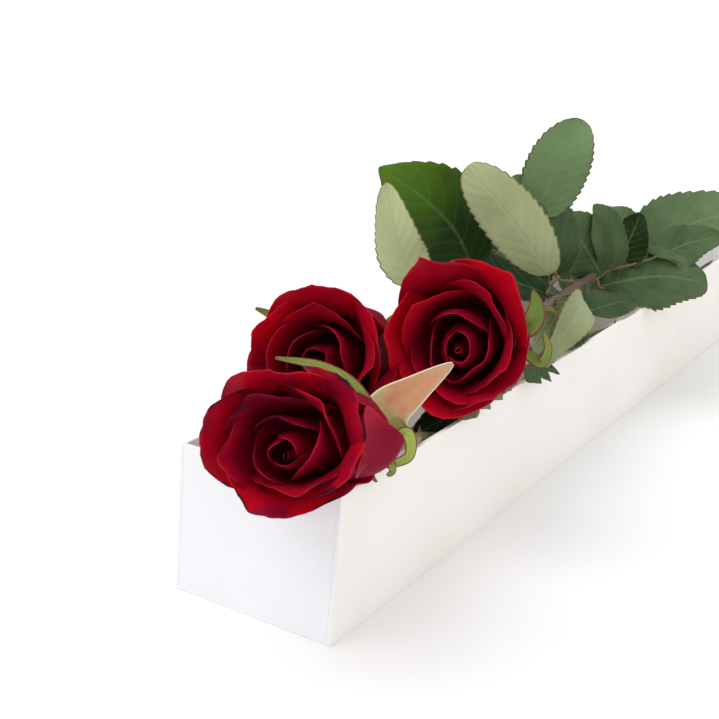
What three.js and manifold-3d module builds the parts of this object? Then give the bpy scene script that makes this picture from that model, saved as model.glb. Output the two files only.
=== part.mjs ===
// Three long-stemmed roses lying in an open card box, in millimetres, +Z up.
// The origin is the centre of the underside of the box. +Y runs along the box away from the
// end where the blooms lie, +X is to the right seen from that end.
import * as THREE from 'three';
import Module from 'manifold-3d';

const wasm = await Module();
wasm.setup();
const { Manifold, Mesh: SolidMesh } = wasm;

// Driving dimensions
const BOX_WIDTH = 90;
const BOX_LENGTH = 650;
const BOX_HEIGHT = 77;
const BOARD = 2.2;
const GAP = 0.3;
const PETAL_THICKNESS = 0.8;
const LEAF_THICKNESS = 0.75;
const STEM_RADIUS = 2.8;
const RIB_RADIUS = 1.0;
const GOLDEN_ANGLE = THREE.MathUtils.degToRad(137.508);

const SIDE_X = BOX_WIDTH / 2;
const END_Y = BOX_LENGTH / 2;

const vec = (p) => new THREE.Vector3(p[0], p[1], p[2]);
const clamp = (x, low, high) => Math.min(Math.max(x, low), high);
const ease = (x) => {
  const c = clamp(x, 0, 1);
  return c * c * (3 - 2 * c);
};

// A repeatable value in -1..1 for a pair of whole numbers.
function jitter(seed, index) {
  const v = Math.sin(seed * 78.233 + index * 12.9898) * 43758.5453;
  return 2 * (v - Math.floor(v)) - 1;
}

// Straight-line reading of a list of values spread over a list of places.
function blend(places, values, x) {
  let i = 0;
  while (i < places.length - 2 && x > places[i + 1]) {
    i += 1;
  }
  const f = clamp((x - places[i]) / (places[i + 1] - places[i]), 0, 1);
  return values[i] + (values[i + 1] - values[i]) * f;
}

// Catmull-Rom curve through evenly spaced knots, each a list of coordinates.
function curveAt(knots, x) {
  const last = knots.length - 1;
  const u = clamp(x, 0, 1) * last;
  const i = Math.min(Math.floor(u), last - 1);
  const f = u - i;
  const before = i > 0 ? knots[i - 1] : knots[0].map((v, k) => 2 * v - knots[1][k]);
  const after = i + 2 <= last
    ? knots[i + 2]
    : knots[last].map((v, k) => 2 * v - knots[last - 1][k]);
  return knots[i].map((b, k) => {
    const a = before[k];
    const c = knots[i + 1][k];
    const d = after[k];
    return 0.5 * (2 * b + (c - a) * f + (2 * a - 5 * b + 4 * c - d) * f * f
      + (3 * b - a - 3 * c + d) * f * f * f);
  });
}

// Closed solid from points and triangles, turned the right way out.
function solidFrom(points, triangles) {
  let volume = 0;
  for (const [a, b, c] of triangles) {
    const ab = new THREE.Vector3().crossVectors(points[b], points[c]);
    volume += points[a].dot(ab);
  }
  const faces = volume < 0 ? triangles.map(([a, b, c]) => [a, c, b]) : triangles;
  const vertProperties = new Float32Array(points.flatMap((p) => [p.x, p.y, p.z]));
  const triVerts = new Uint32Array(faces.flat());
  return new Manifold(new SolidMesh({ numProp: 3, vertProperties, triVerts }));
}

// Thin sheet over surface(s, t), s from 0 to 1 along it and t from -1 to 1 across it.
function sheet(surface, along, across, thickness) {
  const upper = [];
  const lower = [];
  const e = 0.004;
  for (let i = 0; i <= along; i += 1) {
    for (let j = 0; j <= across; j += 1) {
      const s = i / along;
      const t = (2 * j) / across - 1;
      const p = surface(s, t);
      const ds = surface(Math.min(s + e, 1), t).sub(surface(Math.max(s - e, 0), t));
      const dt = surface(s, Math.min(t + e, 1)).sub(surface(s, Math.max(t - e, -1)));
      const n = ds.cross(dt).normalize().multiplyScalar(thickness / 2);
      upper.push(p.clone().add(n));
      lower.push(p.clone().sub(n));
    }
  }
  const row = across + 1;
  const below = upper.length;
  const triangles = [];
  for (let i = 0; i < along; i += 1) {
    for (let j = 0; j < across; j += 1) {
      const a = i * row + j;
      const b = a + 1;
      const c = a + row + 1;
      const d = a + row;
      triangles.push([a, b, c], [a, c, d]);
      triangles.push([a + below, c + below, b + below], [a + below, d + below, c + below]);
    }
  }
  const rim = [];
  for (let j = 0; j < across; j += 1) rim.push(j);
  for (let i = 0; i < along; i += 1) rim.push(i * row + across);
  for (let j = across; j > 0; j -= 1) rim.push(along * row + j);
  for (let i = along; i > 0; i -= 1) rim.push(i * row);
  rim.forEach((a, k) => {
    const b = rim[(k + 1) % rim.length];
    triangles.push([a, b + below, b], [a, a + below, b + below]);
  });
  return solidFrom([...upper, ...lower], triangles);
}

// Round rod along a smooth path through knots, with a radius for each knot.
function rod(knots, radii, rings, sides) {
  const points = [];
  const triangles = [];
  const places = radii.map((r, k) => k / (radii.length - 1));
  for (let i = 0; i <= rings; i += 1) {
    const s = i / rings;
    const centre = vec(curveAt(knots, s));
    const ahead = vec(curveAt(knots, Math.min(s + 0.004, 1)));
    const tangent = ahead.sub(vec(curveAt(knots, Math.max(s - 0.004, 0)))).normalize();
    const e = new THREE.Vector3().crossVectors(tangent, new THREE.Vector3(0.3, 0.1, 1)).normalize();
    const f = new THREE.Vector3().crossVectors(tangent, e);
    const r = blend(places, radii, s);
    for (let k = 0; k < sides; k += 1) {
      const a = (2 * Math.PI * k) / sides;
      points.push(centre.clone().addScaledVector(e, r * Math.cos(a))
        .addScaledVector(f, r * Math.sin(a)));
    }
  }
  for (let i = 0; i < rings; i += 1) {
    for (let k = 0; k < sides; k += 1) {
      const a = i * sides + k;
      const b = i * sides + ((k + 1) % sides);
      triangles.push([a, b, b + sides], [a, b + sides, a + sides]);
    }
  }
  for (let k = 1; k < sides - 1; k += 1) {
    const end = rings * sides;
    triangles.push([0, k + 1, k], [end, end + k, end + k + 1]);
  }
  return solidFrom(points, triangles);
}

// Solid of revolution about local z from a profile of [radius, height] that starts and ends
// on the axis, moved into place by put(point).
function turned(profile, sides, put) {
  const points = [put(new THREE.Vector3(0, 0, profile[0][1]))];
  const rings = profile.slice(1, -1);
  const triangles = [];
  rings.forEach(([r, z]) => {
    for (let k = 0; k < sides; k += 1) {
      const a = (2 * Math.PI * k) / sides;
      points.push(put(new THREE.Vector3(r * Math.cos(a), r * Math.sin(a), z)));
    }
  });
  points.push(put(new THREE.Vector3(0, 0, profile[profile.length - 1][1])));
  const tip = points.length - 1;
  for (let k = 0; k < sides; k += 1) {
    const n = (k + 1) % sides;
    triangles.push([0, 1 + n, 1 + k]);
    for (let i = 0; i < rings.length - 1; i += 1) {
      const a = 1 + i * sides;
      const b = a + sides;
      triangles.push([a + k, a + n, b + n], [a + k, b + n, b + k]);
    }
    const a = 1 + (rings.length - 1) * sides;
    triangles.push([a + k, a + n, tip]);
  }
  return solidFrom(points, triangles);
}

// The biggest connected piece of a solid, without inner pockets or loose scraps.
function mainPiece(solid) {
  const parts = solid.decompose();
  return parts.reduce((best, part) => (part.volume() > best.volume() ? part : best));
}

// The solid's vertices on a grid of 2 micrometres, those that meet made one, and its triangles
// without the ones that became flat or lie back to back.
function gridded(solid) {
  const { vertProperties, triVerts } = solid.getMesh();
  const places = new Map();
  const points = [];
  const own = [];
  for (let i = 0; i < vertProperties.length; i += 3) {
    const cell = [0, 1, 2].map((k) => Math.round(vertProperties[i + k] / 0.002));
    const key = cell.join();
    if (!places.has(key)) {
      places.set(key, points.length);
      points.push(new THREE.Vector3(cell[0] * 0.002, cell[1] * 0.002, cell[2] * 0.002));
    }
    own.push(places.get(key));
  }
  const faces = new Map();
  for (let i = 0; i < triVerts.length; i += 3) {
    const face = [own[triVerts[i]], own[triVerts[i + 1]], own[triVerts[i + 2]]];
    const key = [...face].sort().join();
    if (new Set(face).size < 3) continue;
    if (faces.has(key)) {
      faces.delete(key);
    } else {
      faces.set(key, face);
    }
  }
  return { points, triangles: [...faces.values()] };
}

// How many edges don't belong to exactly two triangles.
function looseEdges({ triangles }) {
  const uses = new Map();
  for (const face of triangles) {
    face.forEach((a, k) => {
      const b = face[(k + 1) % 3];
      const key = a < b ? `${a} ${b}` : `${b} ${a}`;
      uses.set(key, (uses.get(key) ?? 0) + 1);
    });
  }
  return [...uses.values()].filter((n) => n !== 2).length;
}

// Fuse solids and keep one body.
function fuse(solids) {
  return mainPiece(Manifold.union(solids));
}

// Take away each neighbour that comes too close, together with a thin gap around it.
function clearOf(solid, neighbours, gap) {
  let out = solid;
  const steps = [[0, 0, 0]];
  for (const way of [1, -1]) {
    steps.push([way, 0, 0], [0, way, 0], [0, 0, way]);
    steps.push([way, 1, 1], [way, 1, -1], [way, -1, 1], [way, -1, -1]);
  }
  for (const neighbour of neighbours) {
    if (out.minGap(neighbour, 1) < 0.6 * gap) {
      const box = out.boundingBox();
      const local = neighbour.intersect(block(box.min.map((v) => v - 1), box.max.map((v) => v + 1)));
      for (const step of steps) {
        const far = gap / (Math.hypot(...step) || 1);
        out = mainPiece(out.subtract(local.translate(step.map((v) => v * far))));
      }
    }
  }
  return out;
}

function block(low, high) {
  const points = [];
  for (const x of [low[0], high[0]]) {
    for (const y of [low[1], high[1]]) {
      for (const z of [low[2], high[2]]) {
        points.push(new THREE.Vector3(x, y, z));
      }
    }
  }
  const triangles = [
    [0, 1, 3], [0, 3, 2], [4, 6, 7], [4, 7, 5], [0, 4, 5], [0, 5, 1],
    [2, 3, 7], [2, 7, 6], [0, 2, 6], [0, 6, 4], [1, 5, 7], [1, 7, 3],
  ];
  return solidFrom(points, triangles);
}

// Soft ridge over the tops of the near end panel and the right side panel: whatever lies on
// the rim is bent up over it and keeps its order.
function drape(p) {
  const soft = 2.6;
  const rest = BOX_HEIGHT + 0.6;
  const overEnd = Math.max(0, Math.abs(p.y + END_Y - BOARD / 2) - 1.4) ** 2
    + Math.max(0, Math.abs(p.x) - SIDE_X) ** 2;
  const overSide = Math.max(0, Math.abs(p.x - SIDE_X + BOARD / 2) - 1.4) ** 2
    + Math.max(0, -END_Y - p.y) ** 2;
  const ridge = rest - 0.12 * Math.min(overEnd, overSide);
  const d = (p.z - ridge) / soft;
  const lifted = d > 20 ? p.z : ridge + soft * Math.log(1 + Math.exp(d));
  return new THREE.Vector3(p.x, p.y, lifted);
}

// The rings of petals, from the tight heart to the outermost. For each ring: how many petals,
// their rim, shoulder and belly radius as parts of the bloom's radius, their height as a part of
// the bloom's height, and their habit.
const COUNT = [2, 3, 3, 4, 5];
const RING_TURN = [0, 0.6, 1.5, 0.3, 0];
const RIM = [0.05, 0.20, 0.42, 0.76, 1.08];
const SHOULDER = [0.13, 0.31, 0.50, 0.69, 0.86];
const BELLY = [0.15, 0.32, 0.48, 0.64, 0.77];
const HEIGHT = [0.88, 0.94, 0.98, 1.0, 0.97];
const HALF_WIDTH = [9, 17, 22, 27, 31];
const FLATNESS = [1, 1.02, 1.05, 1.15, 1.3];
const TUCK = [0.9, 1.8, 2.6, 3.2, 3.2];
const CURL = [-1.5, -0.5, 1.4, 3.2, 5.2];
const RIPPLE = [0.1, 0.3, 0.6, 0.9, 1.1];
const POINT = [0, 0.4, 1.2, 1.8, 2.2];

// Petal i of a ring. A bloom may place the petals of a ring itself: azimuth in degrees from the
// right of its face, reach of the rim and how far its tip stands out.
function petalSpec(bloom, ring, i) {
  const j = (n) => jitter(bloom.seed, 40 * ring + 8 * i + n);
  const own = bloom.placed[ring] ? bloom.placed[ring][i] : null;
  const even = bloom.turn + RING_TURN[ring] + (2 * Math.PI * i) / COUNT[ring] + 0.14 * j(1);
  const radius = bloom.diameter / 2;
  const height = HEIGHT[ring] * bloom.height * (1 + 0.02 * j(0));
  const belly = BELLY[ring] * radius;
  const reach = own ? own[1] : 1 + 0.06 * j(7);
  const out = ring / (COUNT.length - 1);
  return {
    profile: [
      [3 + 2 * out, 1 + 3 * (1 - out)],
      [belly * (0.60 + 0.24 * out), 0.14 * height],
      [belly, 0.42 * height],
      [SHOULDER[ring] * radius * (0.5 + 0.5 * reach), 0.76 * height],
      [RIM[ring] * radius * reach, height],
    ],
    width: (HALF_WIDTH[ring] * radius) / 33,
    azimuth: own ? THREE.MathUtils.degToRad(own[0]) : even,
    flat: FLATNESS[ring],
    tuck: TUCK[ring],
    curl: CURL[ring] * (1 + 0.3 * j(2)),
    skew: 0.15 * j(7),
    wave: RIPPLE[ring] * (1 + 0.4 * j(3)),
    waves: 4.5 + 1.5 * j(4),
    phase: 3 * j(5),
    point: own ? own[2] : POINT[ring] * (1 + j(6)),
    drift: [bloom.drift[0] * out, bloom.drift[1] * out],
  };
}

// A petal in the bloom's own frame: a strip whose height line follows the profile, wrapped
// round the axis, narrow at the claw, rounded above, one edge tucked under its neighbour and
// the free rim rolled out.
function petalPoint(q, s, t) {
  const rounded = s * (1 - 0.05 * t * t - 0.27 * t ** 4);
  const [lineRadius, height] = curveAt(q.profile, rounded);
  const r = lineRadius + q.point * Math.exp(-Math.abs(t + 0.5 * q.skew) / 0.3) * s ** 6;
  const half = q.width * (0.20 + 0.80 * ease(rounded / 0.62) ** 0.8)
    * (1 - 0.22 * ease((rounded - 0.62) / 0.38));
  const rho = Math.max(q.flat * Math.max(r, 2.5), 2);
  const a = (t * half) / rho;
  let x = r - rho + rho * Math.cos(a) + q.tuck * t * ease(s / 0.3);
  let y = rho * Math.sin(a);
  const curl = q.curl * (0.35 + 0.65 * ease((Math.abs(t + q.skew) - 0.2) / 0.8))
    * ease((s - 0.5) / 0.5);
  const ripple = q.wave * Math.sin(q.waves * t + q.phase) * ease((s - 0.55) / 0.45);
  for (const push of [curl, ripple]) {
    const k = 1 + push / (Math.hypot(x, y) + 1e-9);
    x *= k;
    y *= k;
  }
  const c = Math.cos(q.azimuth);
  const n = Math.sin(q.azimuth);
  const w = ease(s / 0.8);
  return new THREE.Vector3(
    x * c - y * n + q.drift[0] * w,
    x * n + y * c + q.drift[1] * w,
    height - 0.6 * curl + 0.5 * ripple,
  );
}

// Moves a point from the bloom's frame into the box. The bloom grows from base and its
// centre leans over to the point centre, while the face looks along axis.
function bloomPlacer(bloom) {
  const axis = vec(bloom.axis).normalize();
  const across = vec(bloom.right);
  across.addScaledVector(axis, -across.dot(axis)).normalize();
  const upward = new THREE.Vector3().crossVectors(axis, across);
  const base = vec(bloom.base);
  const reach = vec(bloom.centre).sub(base);
  const rise = reach.dot(axis);
  const lean = reach.clone().addScaledVector(axis, -rise);
  return (p) => {
    const w = 1 - (1 - clamp(p.z / rise, 0, 1)) ** 2;
    return base.clone()
      .addScaledVector(across, p.x * bloom.stretch)
      .addScaledVector(upward, p.y)
      .addScaledVector(axis, p.z)
      .addScaledVector(lean, w);
  };
}

function bloomRise(bloom) {
  return vec(bloom.centre).sub(vec(bloom.base)).dot(vec(bloom.axis).normalize());
}

function makeBloom(bloom) {
  const put = bloomPlacer(bloom);
  const radius = bloom.diameter / 2;
  const heart = [[0, 0.6], [5.6, 0.6], [0.48 * radius, 0.16 * bloom.height],
    [0.64 * radius, 0.36 * bloom.height], [0.5 * radius, 0.5 * bloom.height],
    [0, 0.56 * bloom.height]];
  const core = turned(heart, 10, put);
  const solids = [core];
  COUNT.forEach((count, ring) => {
    for (let i = 0; i < count; i += 1) {
      const q = petalSpec(bloom, ring, i);
      const surface = (s, t) => drape(put(petalPoint(q, s, t)));
      solids.push(sheet(surface, ring > 1 ? 4 : 3, ring > 1 ? 4 : 2, PETAL_THICKNESS));
    }
  });
  return fuse(solids);
}

// The three blooms. right is the direction that lies level across each face.
const FACE_RIGHT = [0.86, 0.51, 0.07];
const BLOOMS = {
  rose1: {
    base: [45.5, -294.3, 90.7],
    centre: [32.8, -352, 101],
    axis: [0.35, -0.871, 0.344],
    seed: 3,
    turn: 0.3,
    diameter: 52,
    stretch: 1.1,
    drift: [-1, 7],
    placed: {
      3: [[50, 1, 2], [120, 1, 1.5], [195, 1.05, 2], [290, 0.95, 1.5]],
      4: [[32, 1.1, 1], [100, 0.95, 1.5], [175, 1.04, 2], [250, 0.95, 4], [330, 0.95, 1]],
    },
  },
  rose2: {
    base: [-16, -195.4, 98.3],
    centre: [-17.4, -252, 105],
    axis: [0.349, -0.85, 0.394],
    seed: 5,
    turn: 1.3,
    diameter: 62,
    stretch: 0.98,
    drift: [2, 2],
    placed: {
      4: [[95, 1.0, 1.5], [155, 0.93, 1.5], [212, 1.07, 2], [300, 0.95, 2], [20, 0.9, 2]],
    },
  },
  rose3: {
    base: [36.3, -152.5, 109.1],
    centre: [39.9, -208.1, 114.5],
    axis: [0.35, -0.903, 0.25],
    seed: 8,
    turn: 2.3,
    diameter: 70,
    stretch: 0.88,
    drift: [0, 5],
    placed: {
      4: [[118, 1.0, 9], [176, 0.98, 2], [240, 0.95, 2], [305, 0.84, 2], [45, 1.02, 3]],
    },
  },
};
for (const bloom of Object.values(BLOOMS)) {
  bloom.right = FACE_RIGHT;
  bloom.height = bloomRise(bloom) / 0.80;
}

// A leaf blade or sepal: a curved midrib through four knots, two halves folded up along it,
// an oval outline and a gently waved margin, cut into a few pointed lobes if it has any.
function bladeSurface(q) {
  const { knots, up, halfWidth, fold = 0.12, lobes = 0, wave = 0, phase = 0 } = q;
  const [belly, fullness, taper] = q.outline;
  const facing = vec(up);
  const oval = (s) => Math.sin(Math.PI * s ** belly) ** fullness * (1 - taper * s);
  let widest = 0;
  for (let i = 1; i < 100; i += 1) widest = Math.max(widest, oval(i / 100));
  return (s, t) => {
    const p = vec(curveAt(knots, s));
    const along = vec(curveAt(knots, Math.min(s + 1e-3, 1)))
      .sub(vec(curveAt(knots, Math.max(s - 1e-3, 0)))).normalize();
    const side = new THREE.Vector3().crossVectors(along, facing).normalize();
    const normal = new THREE.Vector3().crossVectors(side, along);
    let w = (halfWidth * Math.max(oval(clamp(s, 0, 0.9999)), 0)) / widest + 0.6;
    if (lobes > 0) w *= 1 - 0.5 * Math.abs(2 * ((s * lobes) % 1) - 1);
    const ripple = wave * Math.sin(9 * s + phase + 1.2 * Math.sign(t)) * t * t
      * Math.min(1, w / 6);
    return p.addScaledVector(side, t * w * Math.cos(0.6 * fold))
      .addScaledVector(normal, fold * Math.abs(t) * w + ripple);
  };
}

function makeBlade(q, along) {
  const surface = bladeSurface(q);
  return sheet((s, t) => drape(surface(s, t)), along, 2, LEAF_THICKNESS);
}

// Compound leaves: leaflets on a thin stalk that starts on a stem.
const LEAF = { outline: [0.82, 0.60, 0.1], wave: 1.6 };
const leaflet = (knots, up, halfWidth, more = {}) => ({ ...LEAF, knots, up, halfWidth, ...more });

const LEAVES = {
  leaf_centre: {
    ribs: [
      [[16.5, 3, 103.5], [8, -2, 106], [0, -3, 126], [-10, -2, 144]],
      [[9, -1, 105.6], [9, -8, 105], [9, -15, 101.5], [9, -20, 98.6]],
      [[9, -8, 105], [11, -22, 106], [15, -34, 111], [19, -45, 120]],
    ],
    blades: [
      leaflet([[19, -44, 118], [12, -72, 145], [1, -95, 169], [-14, -108, 187]],
        [0.31, -0.93, 0.21], 17, { fold: -0.12, outline: [0.95, 0.42, 0.1] }),
      leaflet([[6, 2, 106], [1, 1, 129], [-11, -3, 151], [-28, -8, 167]],
        [0.73, -0.55, 0.41], 20, { fold: 0.12 }),
      leaflet([[-11, -2, 144], [-6, 2, 166], [0, 7, 187], [7, 12, 206]],
        [0.59, -0.6, 0.54], 20, { outline: [0.85, 0.45, 0.1] }),
      leaflet([[9, -20, 99], [-8, -38, 107], [-25, -52, 114], [-45, -62, 123]],
        [0.2, -0.45, 0.87], 19),
      leaflet([[5, -8, 98], [-17, -4, 107], [-40, 2, 114], [-65, 8, 121]],
        [0.46, -0.67, 0.58], 17),
    ],
  },
  leaf_upper_left: {
    ribs: [
      [[-14, -98, 79.3], [-14, -90, 92], [-16, -76, 108], [-25, -58, 114]],
      [[-15, -86, 98], [-20, -88, 103], [-28, -90, 107], [-41, -93, 109]],
    ],
    blades: [
      leaflet([[-25, -58, 113], [-36, -68, 139], [-55, -78, 158], [-84, -84, 173]],
        [0.68, -0.57, 0.46], 31, { outline: [0.85, 0.78, 0.1] }),
      leaflet([[-41, -93, 108], [-52, -101, 125], [-57, -107, 145], [-64, -110, 170]],
        [0.13, -0.92, 0.37], 14.5),
    ],
  },
  leaf_right: {
    ribs: [
      [[10, 55, 92], [12, 64, 93], [14, 78, 96], [14, 101, 95]],
      [[12, 64, 93], [12, 65, 95], [12, 66, 97], [13, 67, 96]],
      [[12, 64, 92.5], [15, 60, 90], [17, 60, 88], [19, 62, 87.6]],
      [[14, 84, 96], [22, 96, 98], [30, 106, 101], [36, 114, 104]],
    ],
    blades: [
      leaflet([[14, 66, 96], [5, 62, 109], [-3, 57, 121], [-12, 50, 135]],
        [0.46, -0.67, 0.58], 22, { outline: [0.9, 0.5, 0.1] }),
      leaflet([[16, 80, 98], [13, 78, 114], [8, 74, 128], [1, 68, 142]],
        [0.71, -0.43, 0.55], 17),
      leaflet([[13, 100, 94], [16, 103, 107], [19, 106, 120], [22, 108, 134]],
        [0.19, -0.76, 0.62], 15),
      leaflet([[7, 72, 83], [25, 90, 89], [45, 110, 92], [70, 132, 88]],
        [0.26, -0.47, 0.84], 32, { outline: [0.9, 0.5, 0.1] }),
      leaflet([[36, 114, 104], [36, 130, 103], [49, 146, 111], [68, 160, 117]],
        [0.28, -0.58, 0.76], 19),
    ],
  },
  leaf_far_right: {
    ribs: [
      [[-2, 162, 78.5], [-1, 163, 82], [0, 164, 86], [2, 167, 90]],
      [[-1, 163, 82], [-4, 168, 86], [-7, 172, 90], [-9, 176, 94]],
    ],
    blades: [
      leaflet([[2, 165, 89], [24, 175, 108], [47, 186, 122], [79, 200, 133]],
        [0.16, -0.53, 0.83], 32, { outline: [0.85, 0.5, 0.1] }),
      leaflet([[-8, 174, 93], [-18, 188, 103], [-30, 204, 109], [-44, 220, 111]],
        [0.2, -0.4, 0.9], 17),
    ],
  },
  leaf_droop: {
    ribs: [
      [[32, -62, 109.8], [36, -58, 111], [41, -54, 112], [45, -52, 108]],
      [[34, -59, 110.5], [35, -60, 109], [36, -62, 108], [40, -66, 110]],
    ],
    blades: [
      leaflet([[46, -52, 109], [49, -70, 103], [48, -94, 91], [45, -120, 76]],
        [0.71, -0.66, 0.24], 11, { outline: [0.48, 0.8, 0.1], fold: 0.2 }),
      leaflet([[40, -66, 111], [39, -76, 103], [40, -92, 96], [42, -110, 87]],
        [0.4, -0.89, 0.22], 9, { outline: [0.7, 0.7, 0.1], fold: 0.2 }),
    ],
  },
  leaf_inner_rim: {
    ribs: [
      [[13, 38, 94.6], [20, 30, 88], [26, 10, 82], [29, -22, 78]],
    ],
    blades: [
      leaflet([[28, -14, 78.5], [33, -35, 80], [35, -55, 79], [35, -78, 75]],
        [0.28, -0.58, 0.76], 12),
      leaflet([[25, 12, 83], [31, 30, 84], [36, 50, 84], [38, 72, 81]],
        [0.28, -0.58, 0.76], 12),
    ],
  },
  leaf_rim: {
    ribs: [
      [[17.5, -114, 40], [27, -108, 54], [34, -101, 69], [39, -95, 79]],
      [[36, -98, 74], [37, -110, 79.5], [37, -125, 81], [39, -142, 82]],
    ],
    blades: [
      leaflet([[39, -92, 79], [44, -103, 82.5], [47, -117, 82.5], [49, -134, 79]],
        [0.61, -0.5, 0.61], 12, { outline: [0.8, 0.55, 0.1], lobes: 4 }),
      leaflet([[39, -141, 82], [42, -160, 83], [45, -184, 83], [48, -212, 79]],
        [0.53, -0.48, 0.7], 8, { outline: [0.8, 0.5, 0.1], lobes: 5 }),
      leaflet([[37, -122, 80], [32, -160, 72], [27, -185, 68], [20, -212, 63]],
        [0.4, -0.6, 0.7], 12),
    ],
  },
  leaf_inside_left: {
    ribs: [
      [[-19, 80, 36.5], [-22, 88, 48], [-26, 98, 58], [-28, 112, 66]],
      [[-22, 88, 48], [-18, 92, 54], [-12, 98, 59], [-8, 106, 62]],
    ],
    blades: [
      leaflet([[-28, 112, 66], [-30, 130, 76], [-31, 150, 84], [-31, 174, 88]],
        [0.4, -0.3, 0.86], 10),
      leaflet([[-8, 106, 62], [-4, 122, 66], [0, 138, 68], [2, 154, 66]],
        [0, -0.1, 1], 15),
      leaflet([[-12, 98, 59], [-12, 82, 68], [-14, 62, 76], [-16, 40, 82]],
        [0.2, -0.5, 0.85], 14),
      leaflet([[-26, 98, 58], [-31, 84, 68], [-33, 66, 76], [-33, 46, 80]],
        [0.4, -0.3, 0.86], 8.5),
    ],
  },
  leaf_inside_right: {
    ribs: [
      [[15, 190, 10.5], [18, 200, 24], [22, 212, 36], [24, 226, 44]],
      [[18, 200, 24], [12, 206, 34], [4, 212, 42], [-2, 220, 48]],
    ],
    blades: [
      leaflet([[24, 226, 44], [25, 244, 50], [25, 262, 52], [24, 282, 48]],
        [-0.3, 0, 1], 15),
      leaflet([[-2, 220, 48], [-8, 236, 54], [-14, 252, 56], [-18, 270, 52]],
        [0.2, 0, 1], 14),
      leaflet([[22, 212, 36], [28, 198, 46], [30, 182, 54], [30, 162, 58]],
        [-0.5, 0, 0.9], 10),
    ],
  },
};

function makeLeaf(leaf) {
  const ribs = leaf.ribs.map((knots) => rod(knots, [1.3, RIB_RADIUS, 0.8], 4, 4));
  const rows = (q) => (q.lobes ? 2 * q.lobes : q.halfWidth > 14 ? 7 : 6);
  const blades = leaf.blades.map((q) => makeBlade(q, rows(q)));
  return fuse([...ribs, ...blades]);
}

// Stems: from under the hip down into the box, with backward pointing thorns.
const STEMS = {
  rose1: [
    [48, -276, 87], [42, -254, 80.6], [33, -225, 70], [20, -150, 46],
    [15, 0, 22], [15, 150, 9.5], [17, 312, 6.2],
  ],
  rose2: [
    [-9, -160, 93], [-14, -100, 76], [-16, 0, 48], [-18, 120, 27], [-20, 220, 15],
    [-22, 312, 9],
  ],
  rose3: [
    [38, -98, 112], [20, 0, 101], [4, 100, 89], [-6, 200, 66], [-6, 312, 30],
  ],
};
const THORN_PLACES = [0.16, 0.27, 0.41, 0.55, 0.68, 0.83];

function growth(bloom) {
  return vec(bloom.centre).sub(vec(bloom.base)).normalize();
}

function makeStem(name) {
  const bloom = BLOOMS[name];
  const start = vec(bloom.base).addScaledVector(growth(bloom), -9.6);
  const knots = [start.toArray(), ...STEMS[name]];
  const shaft = rod(knots, [3.4, STEM_RADIUS, STEM_RADIUS, 3], 16, 7);
  const thorns = THORN_PLACES.map((place, i) => {
    const foot = vec(curveAt(knots, place));
    const back = vec(curveAt(knots, place + 0.01)).sub(foot).normalize();
    const out = new THREE.Vector3(jitter(bloom.seed, i), 0, 0.4 + Math.abs(jitter(bloom.seed, i + 40)));
    out.addScaledVector(back, -out.dot(back)).normalize();
    const side = new THREE.Vector3().crossVectors(back, out);
    const put = (p) => foot.clone().addScaledVector(side, p.x * 0.6).addScaledVector(back, p.y * 1.5)
      .addScaledVector(back, p.z > 4 ? 2.2 : 0).addScaledVector(out, p.z);
    return turned([[0, 1], [1.8, 1], [1.2, 3.6], [0, 6.4]], 4, put);
  });
  return fuse([shaft, ...thorns]);
}

// Hip under the bloom with its green sepals. Knots are measured from the bloom's base.
const SEPAL = { outline: [0.6, 0.75, 0.2], fold: 0.3 };
const HOOKED = { outline: [0.7, 0.6, 0.1], fold: 0.3 };
const SEPALS = {
  rose1: [
    { ...SEPAL, halfWidth: 3.2, up: [0.28, -0.58, 0.76],
      knots: [[-1, 3, 2], [-11.5, -5.5, 25], [-24.5, -15.5, 36], [-44, -23.5, 38]] },
    { ...HOOKED, halfWidth: 2.6, up: [0.84, -0.44, 0.31],
      knots: [[1, 3, 1], [9.5, 6.5, 6.5], [11, 7.5, -4], [4, -0.5, -9]] },
    { ...HOOKED, halfWidth: 0.8, up: [0.84, -0.44, 0.31],
      knots: [[1, 1, -3], [3.5, -4.5, -6.5], [1.5, -8.5, -11.5], [3.5, -7.5, -18]] },
    { ...HOOKED, halfWidth: 1.4, up: [0.84, -0.44, 0.31],
      knots: [[2, 2, -3], [6.5, -0.5, -7], [7, 0.5, -10.5], [5.5, -0.5, -13.5]] },
  ],
  rose2: [
    { ...SEPAL, halfWidth: 5, up: [0.32, -0.63, 0.71],
      knots: [[-2, 4, -1], [-17, 3, 3], [-36.5, -26.5, 13], [-52.5, -37.5, 20]] },
    { ...SEPAL, halfWidth: 4, up: [0.3, -0.6, 0.7],
      knots: [[0, 4, 1], [4, 9, 11], [10, 6, 19], [17, -2, 25]] },
    { ...SEPAL, halfWidth: 4, up: [0.3, -0.6, -0.7],
      knots: [[0, 4, -1], [2, 10, -8], [5, 12, -17], [11, 10, -24]] },
  ],
  rose3: [
    { ...SEPAL, halfWidth: 6.5, up: [0.7, -0.52, 0.49],
      knots: [[2, 4, 1], [15.5, 2.5, 9], [18, 3.5, 18.5], [15, 5.5, 26.5]] },
    { ...HOOKED, halfWidth: 2.6, up: [0.8, -0.51, 0.32],
      knots: [[2, 4, -1], [23.5, 2.5, -11], [27.5, 4.5, -4], [24.5, 4.5, 5]] },
    { ...HOOKED, halfWidth: 1.2, up: [0.57, -0.52, 0.64],
      knots: [[2, 4, 1], [16, 10.5, 13], [21, 15.5, 15.5], [25.5, 17.5, 13]] },
    { ...SEPAL, halfWidth: 4, up: [-0.3, -0.6, 0.7],
      knots: [[-2, 4, 1], [-12, 8, 5], [-21, 8, 12], [-29, 4, 19]] },
  ],
};
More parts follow.
